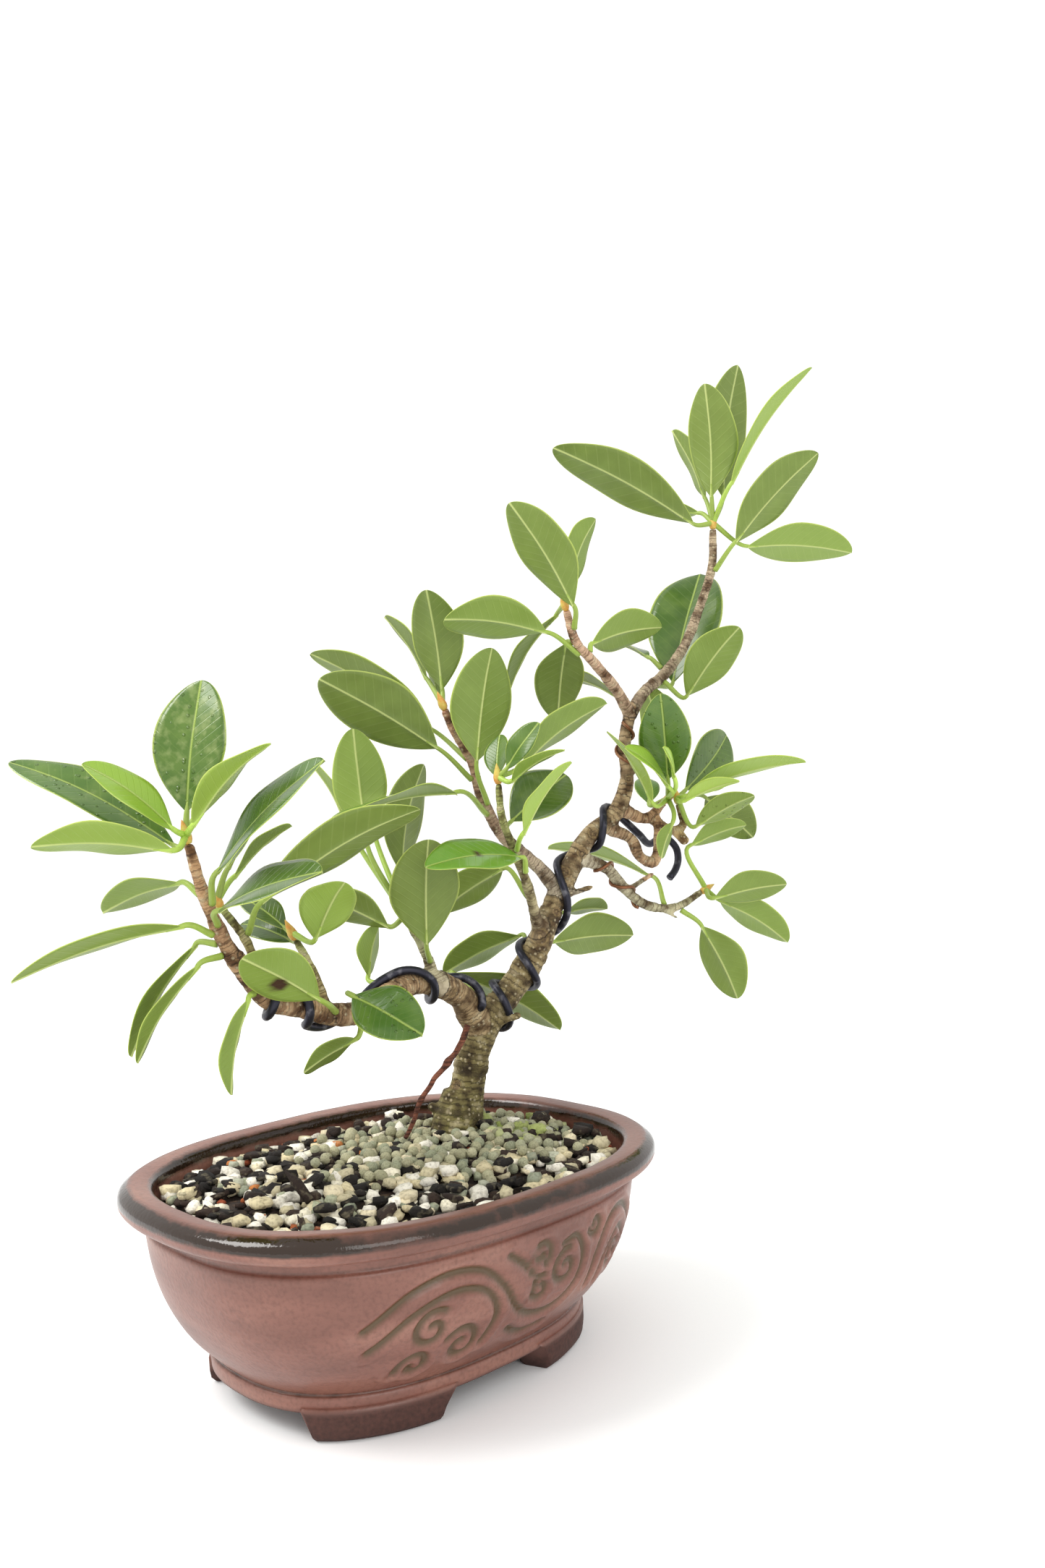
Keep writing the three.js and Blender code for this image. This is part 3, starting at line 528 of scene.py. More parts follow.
# ---- the tree's shoots: points along the pith, radii at start and end, and the bark's colours there ----
SHOOTS = {
    "trunk": ([(45, 20, 60), (50, 20, 75), (55, 20, 95), (60, 18, 110), (75, 15, 125), (85, 10, 140),
               (95, 7, 160), (105, 4, 178), (112, 0, 190), (125, -5, 200), (130, -8, 215), (128, -9, 230),
               (131, -11, 247)], (8.6, 2.3), ("6C6638", "B09674")),
    "leftLimb": ([(58, 18, 112), (48, 16, 125), (35, 14, 132), (20, 12, 135), (5, 9, 132), (-10, 6, 128),
                  (-25, 5, 129), (-40, 4, 134), (-53, 3, 138), (-60, 3, 146), (-66, 3, 155)],
                 (6, 3), ("A08A66", "B28E6B")),
    "leftShoot": ([(-65, 3, 152), (-72, 3, 165), (-78, 3, 180), (-82, 3, 194)],
                  (2.8, 1.5), ("B28E6B", "B9926A")),
    "leftBackShoot": ([(-57, 3, 142), (-57, 8, 157), (-64, 14, 171)], (1.8, 1.2), ("A98C66", "9FA765")),
    "budShoot": ([(-26, 5, 129), (-30, 8, 144), (-35, 12, 157)], (1.8, 1.2), ("A98C66", "9FA765")),
    "midShoot": ([(31, 12, 133), (28, 14, 145), (21, 16, 159)], (2.4, 1.3), ("B5A98F", "A7AF78")),
    "longTwig": ([(98, 5, 165), (90, 10, 177), (75, 17, 192), (66, 20, 210), (62, 21, 225), (53, 22, 238),
                  (49, 22, 246)], (3.2, 1.5), ("A59A86", "C99A7C")),
    "frontTwig": ([(86, 8, 151), (78, 2, 160), (68, -4, 173), (57, -8, 188), (50, -10, 200),
                   (47, -12, 213)], (2.4, 1.2), ("A8977B", "A3A963")),
    "secondTwig": ([(130, -11, 244), (122, -12, 253), (105, -14, 265), (92, -15, 274), (85, -17, 286)],
                   (2.6, 1.5), ("BFA389", "D0A98C")),
    "apexTwig": ([(130, -10, 242), (138, -13, 254), (150, -16, 263), (160, -20, 276), (168, -23, 293),
                  (173, -28, 313), (171, -31, 330)], (2.7, 1.6), ("A5937C", "BFA98C")),
    "rightStub": ([(129, -6, 201), (140, -10, 197), (147, -15, 204)], (3, 1.6), ("B49372", "BF9870")),
    "rightLoop": ([(122, -3, 193), (130, -9, 188), (132, -12, 180), (138, -15, 177), (142, -15, 187),
                   (144, -13, 197)], (2.6, 1.8), ("B09474", "C29C74")),
    "rightTwig": ([(142, -11, 197), (150, -17, 191), (154, -20, 193), (150, -21, 203)],
                  (2.2, 1.4), ("BC9A74", "B5A56A")),
    "lowTwig": ([(109, 2, 180), (120, -3, 175), (125, -7, 167), (135, -12, 158), (150, -17, 156),
                 (164, -21, 162)], (2.8, 1.3), ("B9AF98", "B3B088")),
}
ROOTS = [
    [(44, 20, 66), (56, 30, 55), (64, 34, 44)],
    [(44, 20, 66), (34, 34, 56), (16, 44, 44)],
    [(44, 20, 66), (28, 10, 55), (6, 2, 45)],
    [(44, 20, 66), (56, 4, 56), (70, -14, 45)],
]
ROOT_RADII = (5.5, 1.8)
FLARE = [(43, 19, 50), (44, 20, 66), (49, 20, 86)]
FLARE_RADII = (13.5, 7.6)
# Pruning stubs: from, to and radius.
STUBS = [
    ((62, 15, 112), (70, 4, 116), 1.8),
    ((47, 20, 72), (38, 28, 81), 2.6),
    ((99, 5, 164), (107, -6, 168), 1.5),
    ((151, -18, 191), (151, -24, 185), 2.6),
    ((127, -8, 165), (139, -14, 172), 1.4),
    ((140, -13, 157), (150, -18, 151), 1),
]
# Healed pruning cuts: shoot, how far along, degrees round it from the front left, and radius.
SCARS = [
    ("trunk", 0.46, -10, 5), ("trunk", 0.52, 25, 2.5), ("trunk", 0.6, -25, 3.5), ("trunk", 0.655, 20, 3),
    ("trunk", 0.7, 5, 3), ("trunk", 0.13, -40, 3), ("trunk", 0.85, 10, 2), ("leftLimb", 0.2, 0, 2.5),
]
PATHS = {name: Path(points) for name, (points, radii, colours) in SHOOTS.items()}

# ---- leaves: name, shoot, how far along it (1 is in the whorl at its bud), the stalk's and the blade's
#      (heading from +X, rise above level, length), width, turn about its length, and youth from 0 to 1 ----
LEAVES = [
    ("apex_long_left", "apexTwig", 1, (155, -5, 10), (155, 25, 75), 25, -35, 0.15),
    ("apex_upright", "apexTwig", 1, (215, 65, 12), (215, 75, 50), 25, 25, 0.1),
    ("apex_behind", "apexTwig", 1, (5, 55, 17), (350, 80, 65), 24, 105, 0.1),
    ("apex_edge_on", "apexTwig", 1, (260, 50, 20), (290, 50, 60), 24, -10, 0.6),
    ("apex_right", "apexTwig", 0.82, (275, 45, 16), (310, 45, 55), 25, 45, 0.25),
    ("apex_low_right", "apexTwig", 1, (335, -30, 20), (335, 0, 57), 25, 35, 0.4),
    ("apex_small_left", "apexTwig", 1, (90, 40, 10), (100, 10, 25), 13, -25, 0.3),
    ("apex_small_up", "apexTwig", 1, (60, 60, 16), (95, 65, 40), 18, -55, 0.2),
    ("apex_round", "apexTwig", 0.23, (5, 10, 14), (10, 60, 65), 36, -15, 0.05),
    ("apex_lower", "apexTwig", 0.25, (285, -35, 13), (275, 45, 40), 22, 35, 0.25),
    ("apex_narrow", "apexTwig", 0.3, (115, 45, 8), (80, 20, 34), 16, -10, 0.0),
    ("second_up", "secondTwig", 0.87, (225, 50, 11), (165, 55, 50), 25, -25, 0.15),
    ("second_right_up", "secondTwig", 1, (20, 50, 8), (10, 60, 40), 20, 80, 0.45),
    ("second_left", "secondTwig", 0.67, (175, 25, 20), (165, 5, 48), 24, -35, 0.35),
    ("second_hanging", "secondTwig", 0.76, (90, 5, 4), (55, -50, 40), 23, 5, 0.15),
    ("second_right", "secondTwig", 0.61, (0, 70, 4), (355, 15, 43), 21, 55, 0.4),
    ("second_narrow", "secondTwig", 1, (65, -15, 10), (90, -40, 42), 20, 25, 0.1),
    ("second_thin", "secondTwig", 0.08, (50, 20, 8), (100, 25, 33), 16, -25, 0.0),
    ("long_upright", "longTwig", 1, (45, 65, 7), (210, 70, 43), 23, 0, 0.15),
    ("long_side", "longTwig", 1, (55, 15, 14), (85, 65, 35), 16, -80, 0.2),
    ("long_thin", "longTwig", 1, (75, 40, 19), (95, 50, 40), 18, -50, 0.1),
    ("long_tall", "longTwig", 0.54, (205, 60, 21), (290, 80, 48), 27, 45, 0.3),
    ("long_broad", "longTwig", 0.66, (170, 40, 21), (160, 30, 58), 29, -55, 0.1),
    ("long_back", "longTwig", 0.75, (110, 40, 21), (135, 35, 64), 25, -35, 0.1),
    ("long_level", "longTwig", 0.5, (200, 20, 28), (180, -10, 65), 24, -10, 0.3),
    ("front_round", "frontTwig", 1, (50, 0, 6), (35, 65, 20), 12, 20, 0.2),
    ("front_gloss", "frontTwig", 1, (285, 35, 5), (295, 50, 23), 12, -70, 0.2),
    ("front_lime", "frontTwig", 1, (270, -15, 8), (280, 25, 28), 14, 0, 0.6),
    ("front_back_lime", "frontTwig", 1, (10, 15, 15), (335, 35, 48), 24, 35, 0.5),
    ("front_dark", "frontTwig", 0.75, (35, 10, 10), (0, 30, 40), 24, -45, 0.0),
    ("front_pale", "frontTwig", 0.62, (240, 30, 13), (285, 50, 36), 18, -10, 0.7),
    ("front_level", "frontTwig", 0.47, (215, 45, 9), (180, 0, 50), 21, 35, 0.5),
    ("front_low", "frontTwig", 0.25, (105, 45, 17), (110, -30, 38), 19, -45, 0.15),
    ("trunk_back_left", "trunk", 0.42, (55, 35, 13), (125, -25, 40), 20, -40, 0.2),
    ("trunk_back_right", "trunk", 0.44, (20, 10, 15), (345, 0, 43), 22, 65, 0.2),
    ("trunk_back_small", "trunk", 0.5, (25, 10, 19), (355, 0, 27), 14, 35, 0.1),
    ("trunk_low_right", "trunk", 0.3, (100, 30, 20), (335, -30, 57), 25, 35, 0.15),
    ("mid_dark_back", "midShoot", 0.7, (70, 50, 33), (0, 75, 48), 27, 75, 0.05),
    ("mid_dark_front", "midShoot", 0.35, (220, 50, 10), (240, 75, 43), 29, -5, 0.05),
    ("mid_olive", "midShoot", 1, (140, 65, 35), (155, 85, 44), 22, -75, 0.3),
    ("mid_lime_back", "midShoot", 1, (80, 55, 49), (85, 75, 39), 18, -75, 0.6),
    ("mid_narrow", "midShoot", 1, (100, 50, 47), (115, 60, 33), 14, -35, 0.3),
    ("mid_round", "leftLimb", 0.37, (105, 10, 13), (15, 70, 21), 22, 75, 0.5),
    ("mid_side_dark", "midShoot", 1, (160, -30, 8), (150, 25, 36), 18, -50, 0.1),
    ("limb_yellow", "budShoot", 1, (280, -10, 12), (280, 55, 26), 21, 25, 0.6),
    ("limb_holed", "leftLimb", 0.66, (220, 20, 22), (180, 30, 35), 20, -55, 0.35),
    ("limb_gloss", "leftLimb", 0.54, (220, 15, 28), (280, -20, 34), 21, -40, 0.1),
    ("limb_low", "leftLimb", 0.56, (205, -45, 6), (165, -25, 23), 12, -55, 0.3),
    ("limb_dark_high", "budShoot", 1, (90, 20, 4), (110, 30, 25), 13, 25, 0.0),
    ("limb_dark_low", "budShoot", 1, (55, -25, 9), (105, 15, 27), 13, 35, 0.0),
    ("left_spotted", "leftShoot", 1, (45, 80, 8), (10, 80, 46), 27, -25, 0.15),
    ("left_lime_up", "leftShoot", 1, (200, 20, 6), (160, 40, 36), 16, 45, 0.8),
    ("left_olive", "leftShoot", 1, (80, -15, 13), (135, 30, 65), 21, 35, 0.15),
    ("left_lime_level", "leftShoot", 1, (215, -25, 11), (155, 5, 43), 21, -30, 0.7),
    ("left_pale", "leftShoot", 0.6, (105, 25, 10), (110, -15, 37), 17, -25, 0.4),
    ("left_long", "leftShoot", 0.3, (185, 20, 12), (160, -15, 55), 22, -20, 0.35),
    ("left_droop_back", "leftShoot", 0.2, (125, 0, 8), (125, -55, 46), 15, 0, 0.2),
    ("left_droop_front", "leftShoot", 0.12, (175, -15, 9), (140, -55, 38), 15, -10, 0.3),
    ("left_droop_low", "leftLimb", 0.9, (220, -10, 6), (175, -75, 32), 16, -45, 0.5),
    ("left_lime_right", "leftShoot", 1, (260, 25, 8), (290, 40, 41), 19, -5, 0.9),
    ("left_back_green", "leftShoot", 1, (40, 35, 11), (355, 45, 28), 13, 50, 0.5),
    ("left_grey", "leftShoot", 0.52, (250, 50, 14), (295, 40, 55), 22, -45, 0.1),
    ("left_front_grey", "leftShoot", 0.36, (240, 25, 13), (285, 15, 47), 22, -35, 0.1),
    ("left_dark_back", "leftBackShoot", 1, (325, 70, 12), (345, 55, 23), 11, -10, 0.0),
    ("left_green_back", "leftBackShoot", 1, (20, 40, 12), (350, 40, 29), 14, 30, 0.5),
    ("mid_big", "leftBackShoot", 0.6, (290, 60, 13), (310, 30, 65), 25, 30, 0.2),
    ("right_gloss", "rightStub", 1, (220, 30, 16), (215, 60, 42), 23, 175, 0.2),
    ("right_behind", "rightStub", 1, (45, 75, 9), (105, 80, 45), 22, -80, 0.2),
    ("right_olive", "rightTwig", 1, (335, 40, 6), (355, 40, 39), 27, -90, 0.15),
    ("right_lime_long", "rightTwig", 1, (240, 5, 9), (300, 15, 55), 22, 15, 0.7),
    ("right_lime_short", "rightTwig", 1, (230, -5, 16), (275, 15, 29), 13, 15, 0.9),
    ("right_wet", "rightTwig", 1, (275, -55, 16), (285, 25, 31), 15, 35, 0.3),
    ("right_dark", "rightTwig", 1, (355, 0, 19), (345, -35, 33), 21, 45, 0.1),
    ("right_pale", "lowTwig", 1, (180, 65, 23), (315, 20, 27), 13, 50, 0.5),
    ("right_lime_left", "rightStub", 1, (200, -5, 22), (185, 45, 43), 16, 30, 0.7),
    ("right_teal", "rightStub", 1, (220, 10, 26), (185, 30, 34), 14, 55, 0.8),
    ("right_young", "rightStub", 1, (225, 15, 31), (205, 40, 20), 9, 80, 1.0),
    ("right_under", "rightStub", 1, (85, -10, 13), (45, 40, 21), 12, -5, 0.3),
    ("right_down", "rightStub", 1, (225, -35, 19), (175, -60, 18), 10, -80, 0.3),
    ("low_up", "lowTwig", 1, (235, -15, 13), (310, 10, 33), 17, 60, 0.35),
    ("low_side", "lowTwig", 1, (280, -35, 9), (335, -30, 40), 20, 35, 0.35),
    ("low_drooping", "lowTwig", 0.8, (315, -40, 12), (300, -65, 36), 22, 70, 0.3),
    ("low_long_back", "lowTwig", 0.7, (65, 45, 18), (100, 15, 59), 20, -30, 0.3),
]
POWDERY = {"left_spotted": 1.0, "left_olive": 0.8, "left_grey": 0.6}
WET = {"left_spotted", "left_olive", "right_gloss", "right_olive", "right_wet", "right_dark", "limb_gloss"}
# Dead brown patches: (how far across from the rib, how far along, radius in millimetres).
BLEMISHES = {"limb_holed": (0.3, 0.45, 3.2), "front_level": (0.05, 0.5, 2.0)}


# ---- tree ----
SMOOTHED_AWAY = 0.3             # what smoothing takes off the wood's radius
VOXEL = 0.8
MOST_SWELL = 0.55               # the furthest that bark may stand out
SAMPLES = 90                    # points looked up along each shoot


def shoot_radius(name, share):
    """A shoot's radius, which falls a little faster near its start."""
    start, end = SHOOTS[name][1]
    return start + (end - start) * share ** 0.85


def shoot_route(name):
    """A shoot's points and radii, with even swellings and irregular knots where leaves once stood."""
    path = PATHS[name]
    steps = max(12, round(path.length / 1.5))
    thick = SHOOTS[name][1][0] > 4
    swell, waves, knot = (0.05, 34, 0.12) if thick else (0.06, 25, 0.3)
    route = []
    for share in (i / steps for i in range(steps + 1)):
        swollen = shoot_radius(name, share) * (1 + swell * math.sin(share * waves))
        knotted = knot * max(0, noise.noise((share * path.length / 5, len(name), 0)))
        route.append((path.at(share), swollen + knotted + SMOOTHED_AWAY))
    return route


def tapered_route(points, start, end, steps=14):
    """Points of a root or flare whose radius runs evenly from start to end."""
    path = Path(points)
    shares = [i / steps for i in range(steps + 1)]
    return [(path.at(s), start + (end - start) * s) for s in shares]


def front_left_of(way, degrees):
    """The direction square to way that faces the front left, turned round way by some degrees."""
    outward = Vector((-0.69, -0.72, 0))
    outward = (outward - way * outward.dot(way)).normalized()
    return Matrix.Rotation(math.radians(degrees), 3, way) @ outward


def scar_centres():
    """The middle of each healed cut on the bark, and its radius."""
    centres = []
    for name, share, degrees, radius in SCARS:
        outward = front_left_of(PATHS[name].way(share), degrees)
        centres.append((PATHS[name].at(share) + outward * shoot_radius(name, share), radius))
    return centres


def nearest_wood():
    """A search tree over the shoots' centre lines, and each point's shoot and share of its length."""
    samples = [(name, share) for name in SHOOTS for share in np.linspace(0, 1, SAMPLES)]
    return search_tree([PATHS[name].at(share) for name, share in samples]), samples


def carve_bark(bm):
    """Gives the joined wood its knots, rings and healed cuts, and its colour, length and scar attributes."""
    tint = bm.verts.layers.float_color.new("tint")
    along = bm.verts.layers.float.new("along")
    scar = bm.verts.layers.float.new("scar")
    tree, samples = nearest_wood()
    scars = scar_centres()
    order = {name: index for index, name in enumerate(SHOOTS)}
    moves = []
    for vert in bm.verts:
        name, share = samples[tree.find(vert.co)[1]]
        colours = [srgb(code) for code in SHOOTS[name][2]]
        vert[tint] = [a + (b - a) * share for a, b in zip(*colours)]
        vert[along] = share * PATHS[name].length + 50 * order[name]
        radius = shoot_radius(name, share)
        ring = noise.noise((vert[along] * 0.45, order[name] * 3.7, 0))
        lump = noise.fractal(vert.co * 0.16, 1.0, 2.0, 3)
        crust = noise.fractal(vert.co * 0.9, 0.8, 2.0, 2)
        move = 0.09 * radius * ring + 0.05 * radius * lump + 0.12 * crust
        for centre, reach in scars:
            far = (vert.co - centre).length / reach
            if far < 1.3:
                move += 0.5 * math.exp(-((far - 0.9) / 0.2) ** 2) - 0.5 * max(0, 1 - far)
                vert[scar] = max(vert[scar], max(0, 1 - far) * (0.75 + 0.25 * math.sin(far * 14)))
        moves.append(vert.normal * min(move, MOST_SWELL))
    for vert, move in zip(bm.verts, moves):
        vert.co += move


def make_tree():
    """The wood in one grown piece: shoots, roots, flare and stubs melted together, with carved bark."""
    routes = [shoot_route(name) for name in SHOOTS]
    routes += [tapered_route(points, *ROOT_RADII) for points in ROOTS]
    routes.append(tapered_route(FLARE, *FLARE_RADII))
    routes += [[(start, radius), (Vector(start).lerp(end, 0.9), radius * 0.85), (end, radius * 0.5)]
               for start, end, radius in STUBS]
    loose = plain_mesh(tubes(routes, 12), "wood")
    joined = modified(loose, "wood", "REMESH", mode="VOXEL", voxel_size=VOXEL)
    bm = bmesh_of(joined)
    for _ in range(3):
        bmesh.ops.smooth_vert(bm, verts=bm.verts, factor=0.5, use_axis_x=True, use_axis_y=True,
                              use_axis_z=True)
    bm.normal_update()
    carve_bark(bm)
    add_piece("tree", mesh_from(bm, "tree"), ["tree"], [BARK])


def make_air_root():
    """A thin reddish root that grew in the air from the fork down to the gravel."""
    route = [(47.5, 12.5, 114), (42, 11, 107), (31, 11, 98), (21, 12, 88), (17, 13, 79), (15, 15, 74)]
    path = Path(route)
    points = []
    for share in np.linspace(0, 1, 60):
        knot = 0.9 * math.exp(-((share - 0.35) / 0.04) ** 2) + 0.4 * math.exp(-((share - 0.7) / 0.03) ** 2)
        sway = Vector((noise.noise((share * 9, 0, 0)), noise.noise((share * 9, 5, 0)), 0)) * 0.7
        points.append((path.at(share) + sway, 1.3 * (1 - 0.3 * share) * (1 + knot * 0.6)))
    bm = tubes([points], 10)
    tint = bm.verts.layers.float_color.new("tint")
    along = bm.verts.layers.float.new("along")
    for vert in bm.verts:
        vert[tint] = srgb("7E4A36")
        vert[along] = vert.co.z
    add_piece("air_root", mesh_from(bm, "air_root"), ["air_root"], [ROOT_BARK])


# ---- wires: each winding lists (how far along the shoot, degrees round it), 90 behind and 270 in front ----
LIMB_WINDING = [(0.86, 300), (0.84, 180), (0.81, 90), (0.78, 0), (0.75, -90), (0.72, -180), (0.55, -270),
                (0.38, -360), (0.3, -450), (0.25, -540), (0.19, -630), (0.13, -720), (0.08, -800)]
TRUNK_WINDING = [(0.26, 150), (0.265, 80), (0.275, 0), (0.295, -90), (0.32, -180), (0.345, -270),
                 (0.37, -360), (0.39, -450), (0.415, -540), (0.45, -630), (0.49, -720), (0.55, -810),
                 (0.6, -900), (0.64, -990), (0.68, -1080), (0.715, -1170), (0.75, -1260), (0.78, -1330)]
WIRE_TAIL = [(140, -5, 190), (150, -3, 185), (159, -4, 188), (164, -7, 183), (163, -9, 177),
             (159, -10, 172), (155, -10, 169)]
THIN_UPPER_WINDING = [(0.86, 0), (0.88, -90), (0.9, -180), (0.92, -270), (0.935, -360), (0.95, -450),
                      (0.965, -540)]
THIN_LOWER_WINDING = [(0.1, 0), (0.16, -90), (0.2, -180), (0.26, -270), (0.3, -360), (0.36, -450),
                      (0.42, -540), (0.46, -630), (0.5, -720)]
KNOT = 1.06                     # how far bumps in the bark stand out of a shoot's radius
COIL_PARTS = 6                  # points of wire from one place in a winding to the next


def coil(shoot, winding, wire_radius):
    """Points of a wire wound round a shoot, close against its bark."""
    points = []
    parts = np.linspace(0, 1, COIL_PARTS + 1)
    for index in range(1, len(winding)):
        (from_share, from_angle), (to_share, to_angle) = winding[index - 1:index + 1]
        for part in parts if index == 1 else parts[1:]:
            share = from_share + (to_share - from_share) * part
            angle = math.radians(from_angle + (to_angle - from_angle) * part)
            way = PATHS[shoot].way(share)
            side = Vector((0, 1, 0)).cross(way).normalized()
            back = way.cross(side)
            reach = shoot_radius(shoot, share) * KNOT + SMOOTHED_AWAY * 0.5 + wire_radius * 0.9
            points.append(PATHS[shoot].at(share) + (side * math.cos(angle) + back * math.sin(angle)) * reach)
    return points


def make_wire(name, points, radius, material):
    """A round wire through the points, with its ends cut square."""
    path = Path(points)
    steps = round(path.length / 1.6)
    bm = tubes([[(path.at(i / steps), radius) for i in range(steps + 1)]], 12)
    add_piece(name, mesh_from(bm, name), [name], [material])


def make_wires():
    """One long wire from the limb up the trunk, with a loose tail, and two thin ones."""
    long_wire = coil("leftLimb", LIMB_WINDING, WIRE_RADIUS) + coil("trunk", TRUNK_WINDING, WIRE_RADIUS)
    make_wire("training_wire", long_wire + WIRE_TAIL, WIRE_RADIUS, DARK_WIRE)
    for name, shoot, winding in (("thin_wire_upper", "trunk", THIN_UPPER_WINDING),
                                 ("thin_wire_lower", "lowTwig", THIN_LOWER_WINDING)):
        make_wire(name, coil(shoot, winding, THIN_WIRE_RADIUS), THIN_WIRE_RADIUS, BROWN_WIRE)


# ---- leaves ----
BLADE_COLUMNS = 14
BLADE_ROWS = 30
VEINS = 13                      # side veins from a blade's stalk to its tip
EDGE_THICKNESS = 0.22
MIDDLE_THICKNESS = 0.3          # more than at the edge, next to the rib
RIB_HEIGHT = 0.75
RIB_HALF_WIDTH = 0.55


def heading(aim):
    """The direction of an aim: degrees round from +X and degrees above level."""
    turn, rise = math.radians(aim[0]), math.radians(aim[1])
    return Vector((math.cos(turn) * math.cos(rise), math.sin(turn) * math.cos(rise), math.sin(rise)))


def bud_centre(shoot):
    """The middle of the bud at a shoot's end."""
    return PATHS[shoot].at(1) + PATHS[shoot].way(1) * BUD_REACH


def stalk_start(shoot, share, way):
    """Where a leaf's stalk leaves its shoot, or its bud at the shoot's end."""
    if share == 1:
        return bud_centre(shoot)
    along = PATHS[shoot].way(share)
    outward = (way - along * way.dot(along)).normalized()
    reach = shoot_radius(shoot, share) * KNOT + STALK_RADIUS * 0.5
    return PATHS[shoot].at(share) + outward * reach


def blade_axes(along, turn):
    """The directions across a blade and out of its upper side."""
    level = along.cross(Vector((0, 0, 1))).normalized()
    upper = level.cross(along)
    angle = math.radians(turn)
    return (level * math.cos(angle) + upper * math.sin(angle),
            upper * math.cos(angle) - level * math.sin(angle))


def outline(share):
    """Half width of a blade, as a share of its widest: a wedge at the stalk, a blunt point at the tip."""
    round_off = 0.9 if share < 0.5 else 0.55
    return max(math.sin(math.pi * min(max(share, 0), 1)), 0) ** round_off


def add_blade(bm, layers, name, base, aim, width, turn, youth):
    """A thin closed blade: folded along its rib, arched, wavy at the edges, with the rib raised below."""
    along = heading(aim)
    length = aim[2]
    across, outward = blade_axes(along, turn)
    spread = random.Random(name)
    fold, wave, phase = spread.uniform(0.16, 0.34), spread.uniform(0.01, 0.03), spread.uniform(0, 6)
    droop, shade, twist = spread.uniform(-0.01, 0.04), spread.random(), spread.uniform(-0.12, 0.12)
    spot = BLEMISHES.get(name)
    sheet = bmesh.ops.create_grid(bm, x_segments=BLADE_COLUMNS, y_segments=BLADE_ROWS, size=1)["verts"]
    top_faces = {face for vert in sheet for face in vert.link_faces}
    under = [item for item in bmesh.ops.extrude_face_region(bm, geom=list(top_faces))["geom"]
             if isinstance(item, bmesh.types.BMVert)]
    for verts, is_under in ((sheet, False), (under, True)):
        for vert in verts:
            u = math.copysign(abs(vert.co.x) ** 1.5, vert.co.x)
            v = (1 - math.cos(math.pi * (vert.co.y + 1) / 2)) / 2
            sideways = u * outline(v) * width / 2
            lift = fold * abs(sideways) * (1 - 0.3 * abs(u)) + 0.05 * length * math.sin(math.pi * v)
            lift += wave * width * u * u * math.sin(11 * v + phase) - droop * length * v ** 3
            lift += twist * sideways * (v - 0.3)
            if is_under:
                rib = math.exp(-(sideways / RIB_HALF_WIDTH) ** 2) * (1 - 0.8 * v)
                lift -= EDGE_THICKNESS + MIDDLE_THICKNESS * (1 - abs(u)) + RIB_HEIGHT * rib
            vert.co = base + along * (length * v) + across * sideways + outward * lift
            vert[layers["youth"]] = youth
            vert[layers["shade"]] = shade
            vert[layers["off_rib"]] = sideways + 1.2 * max(v - 0.75, 0)
            vert[layers["vein"]] = (v * length - 0.75 * abs(sideways)) / (length / VEINS)
            vert[layers["margin"]] = abs(u)
            vert[layers["powder"]] = POWDERY.get(name, 0)
            vert[layers["wet"]] = 1 if name in WET else 0
            if spot:
                reach = math.hypot((u - spot[0]) * width / 2, (v - spot[1]) * length)
                vert[layers["blemish"]] = min(max(3 - 2.6 * reach / spot[2], 0), 1)
    for face in {face for vert in under for face in vert.link_faces}:
        face.material_index = 1
    return along


def stalk_route(start, aim, base, blade_way):
    """A stalk that leaves its shoot, bends evenly into the blade and runs a little way under its rib."""
    leave = heading(aim) * aim[2] * 0.9
    arrive = blade_way * aim[2] * 0.9
    route = [(bend(t, start, leave, base, arrive), 1.3 - 0.35 * t) for t in np.linspace(0, 1, 12)]
    return route + [(base + blade_way * 2.5, 0.7), (base + blade_way * 6, 0.35)]


def bud_route(shoot):
    """A resting bud: round at the shoot's end and drawn out to a point."""
    start = PATHS[shoot].at(1)
    way = PATHS[shoot].way(1)
    shape = [(0.0, 1.2), (1.2, 1.75), (2.6, 1.9), (4.2, 1.6), (6, 1.0), (7.6, 0.45), (8.4, 0.1)]
    return [(start + way * far, radius) for far, radius in shape]


def make_leaf_piece(node, leaves, shoot):
    """One CAD node's leaves, with their stalks, and the bud that they stand round where they are a whorl."""
    bm = bmesh.new()
    layers = {name: bm.verts.layers.float.new(name) for name in LAYERS}
    routes = []
    for name, _, share, stalk, blade, width, turn, youth in leaves:
        start = stalk_start(shoot, share, heading(stalk))
        base = start + heading(stalk) * stalk[2]
        blade_way = add_blade(bm, layers, name, base, blade, width, turn, youth)
        routes.append((stalk_route(start, stalk, base, blade_way), youth, 2))
    if node.startswith("whorl_"):
        routes.append((bud_route(shoot), 0.5, 3))
    for route, youth, material in routes:
        verts, faces = copy_into(bm, plain_mesh(tubes([route], 8), "stalk"))
        for vert in verts:
            vert[layers["youth"]] = youth
        for face in faces:
            face.material_index = material
    bmesh.ops.remove_doubles(bm, verts=bm.verts, dist=1e-3)
    bmesh.ops.recalc_face_normals(bm, faces=bm.faces)
    add_piece(node, mesh_from(bm, node), [node], [UPPER, UNDER, STALK, BUD])


def make_leaves():
    """Each leaf below a shoot's end as its own piece, and those at its end as one whorl."""
    whorls = {}
    for leaf in LEAVES:
        if leaf[2] == 1:
            whorls.setdefault(leaf[1], []).append(leaf)
        else:
            make_leaf_piece("leaf_" + leaf[0], [leaf], leaf[1])
    for shoot, leaves in whorls.items():
        make_leaf_piece("whorl_" + shoot, leaves, shoot)


# ---- pot ----
POT_STEPS = 480
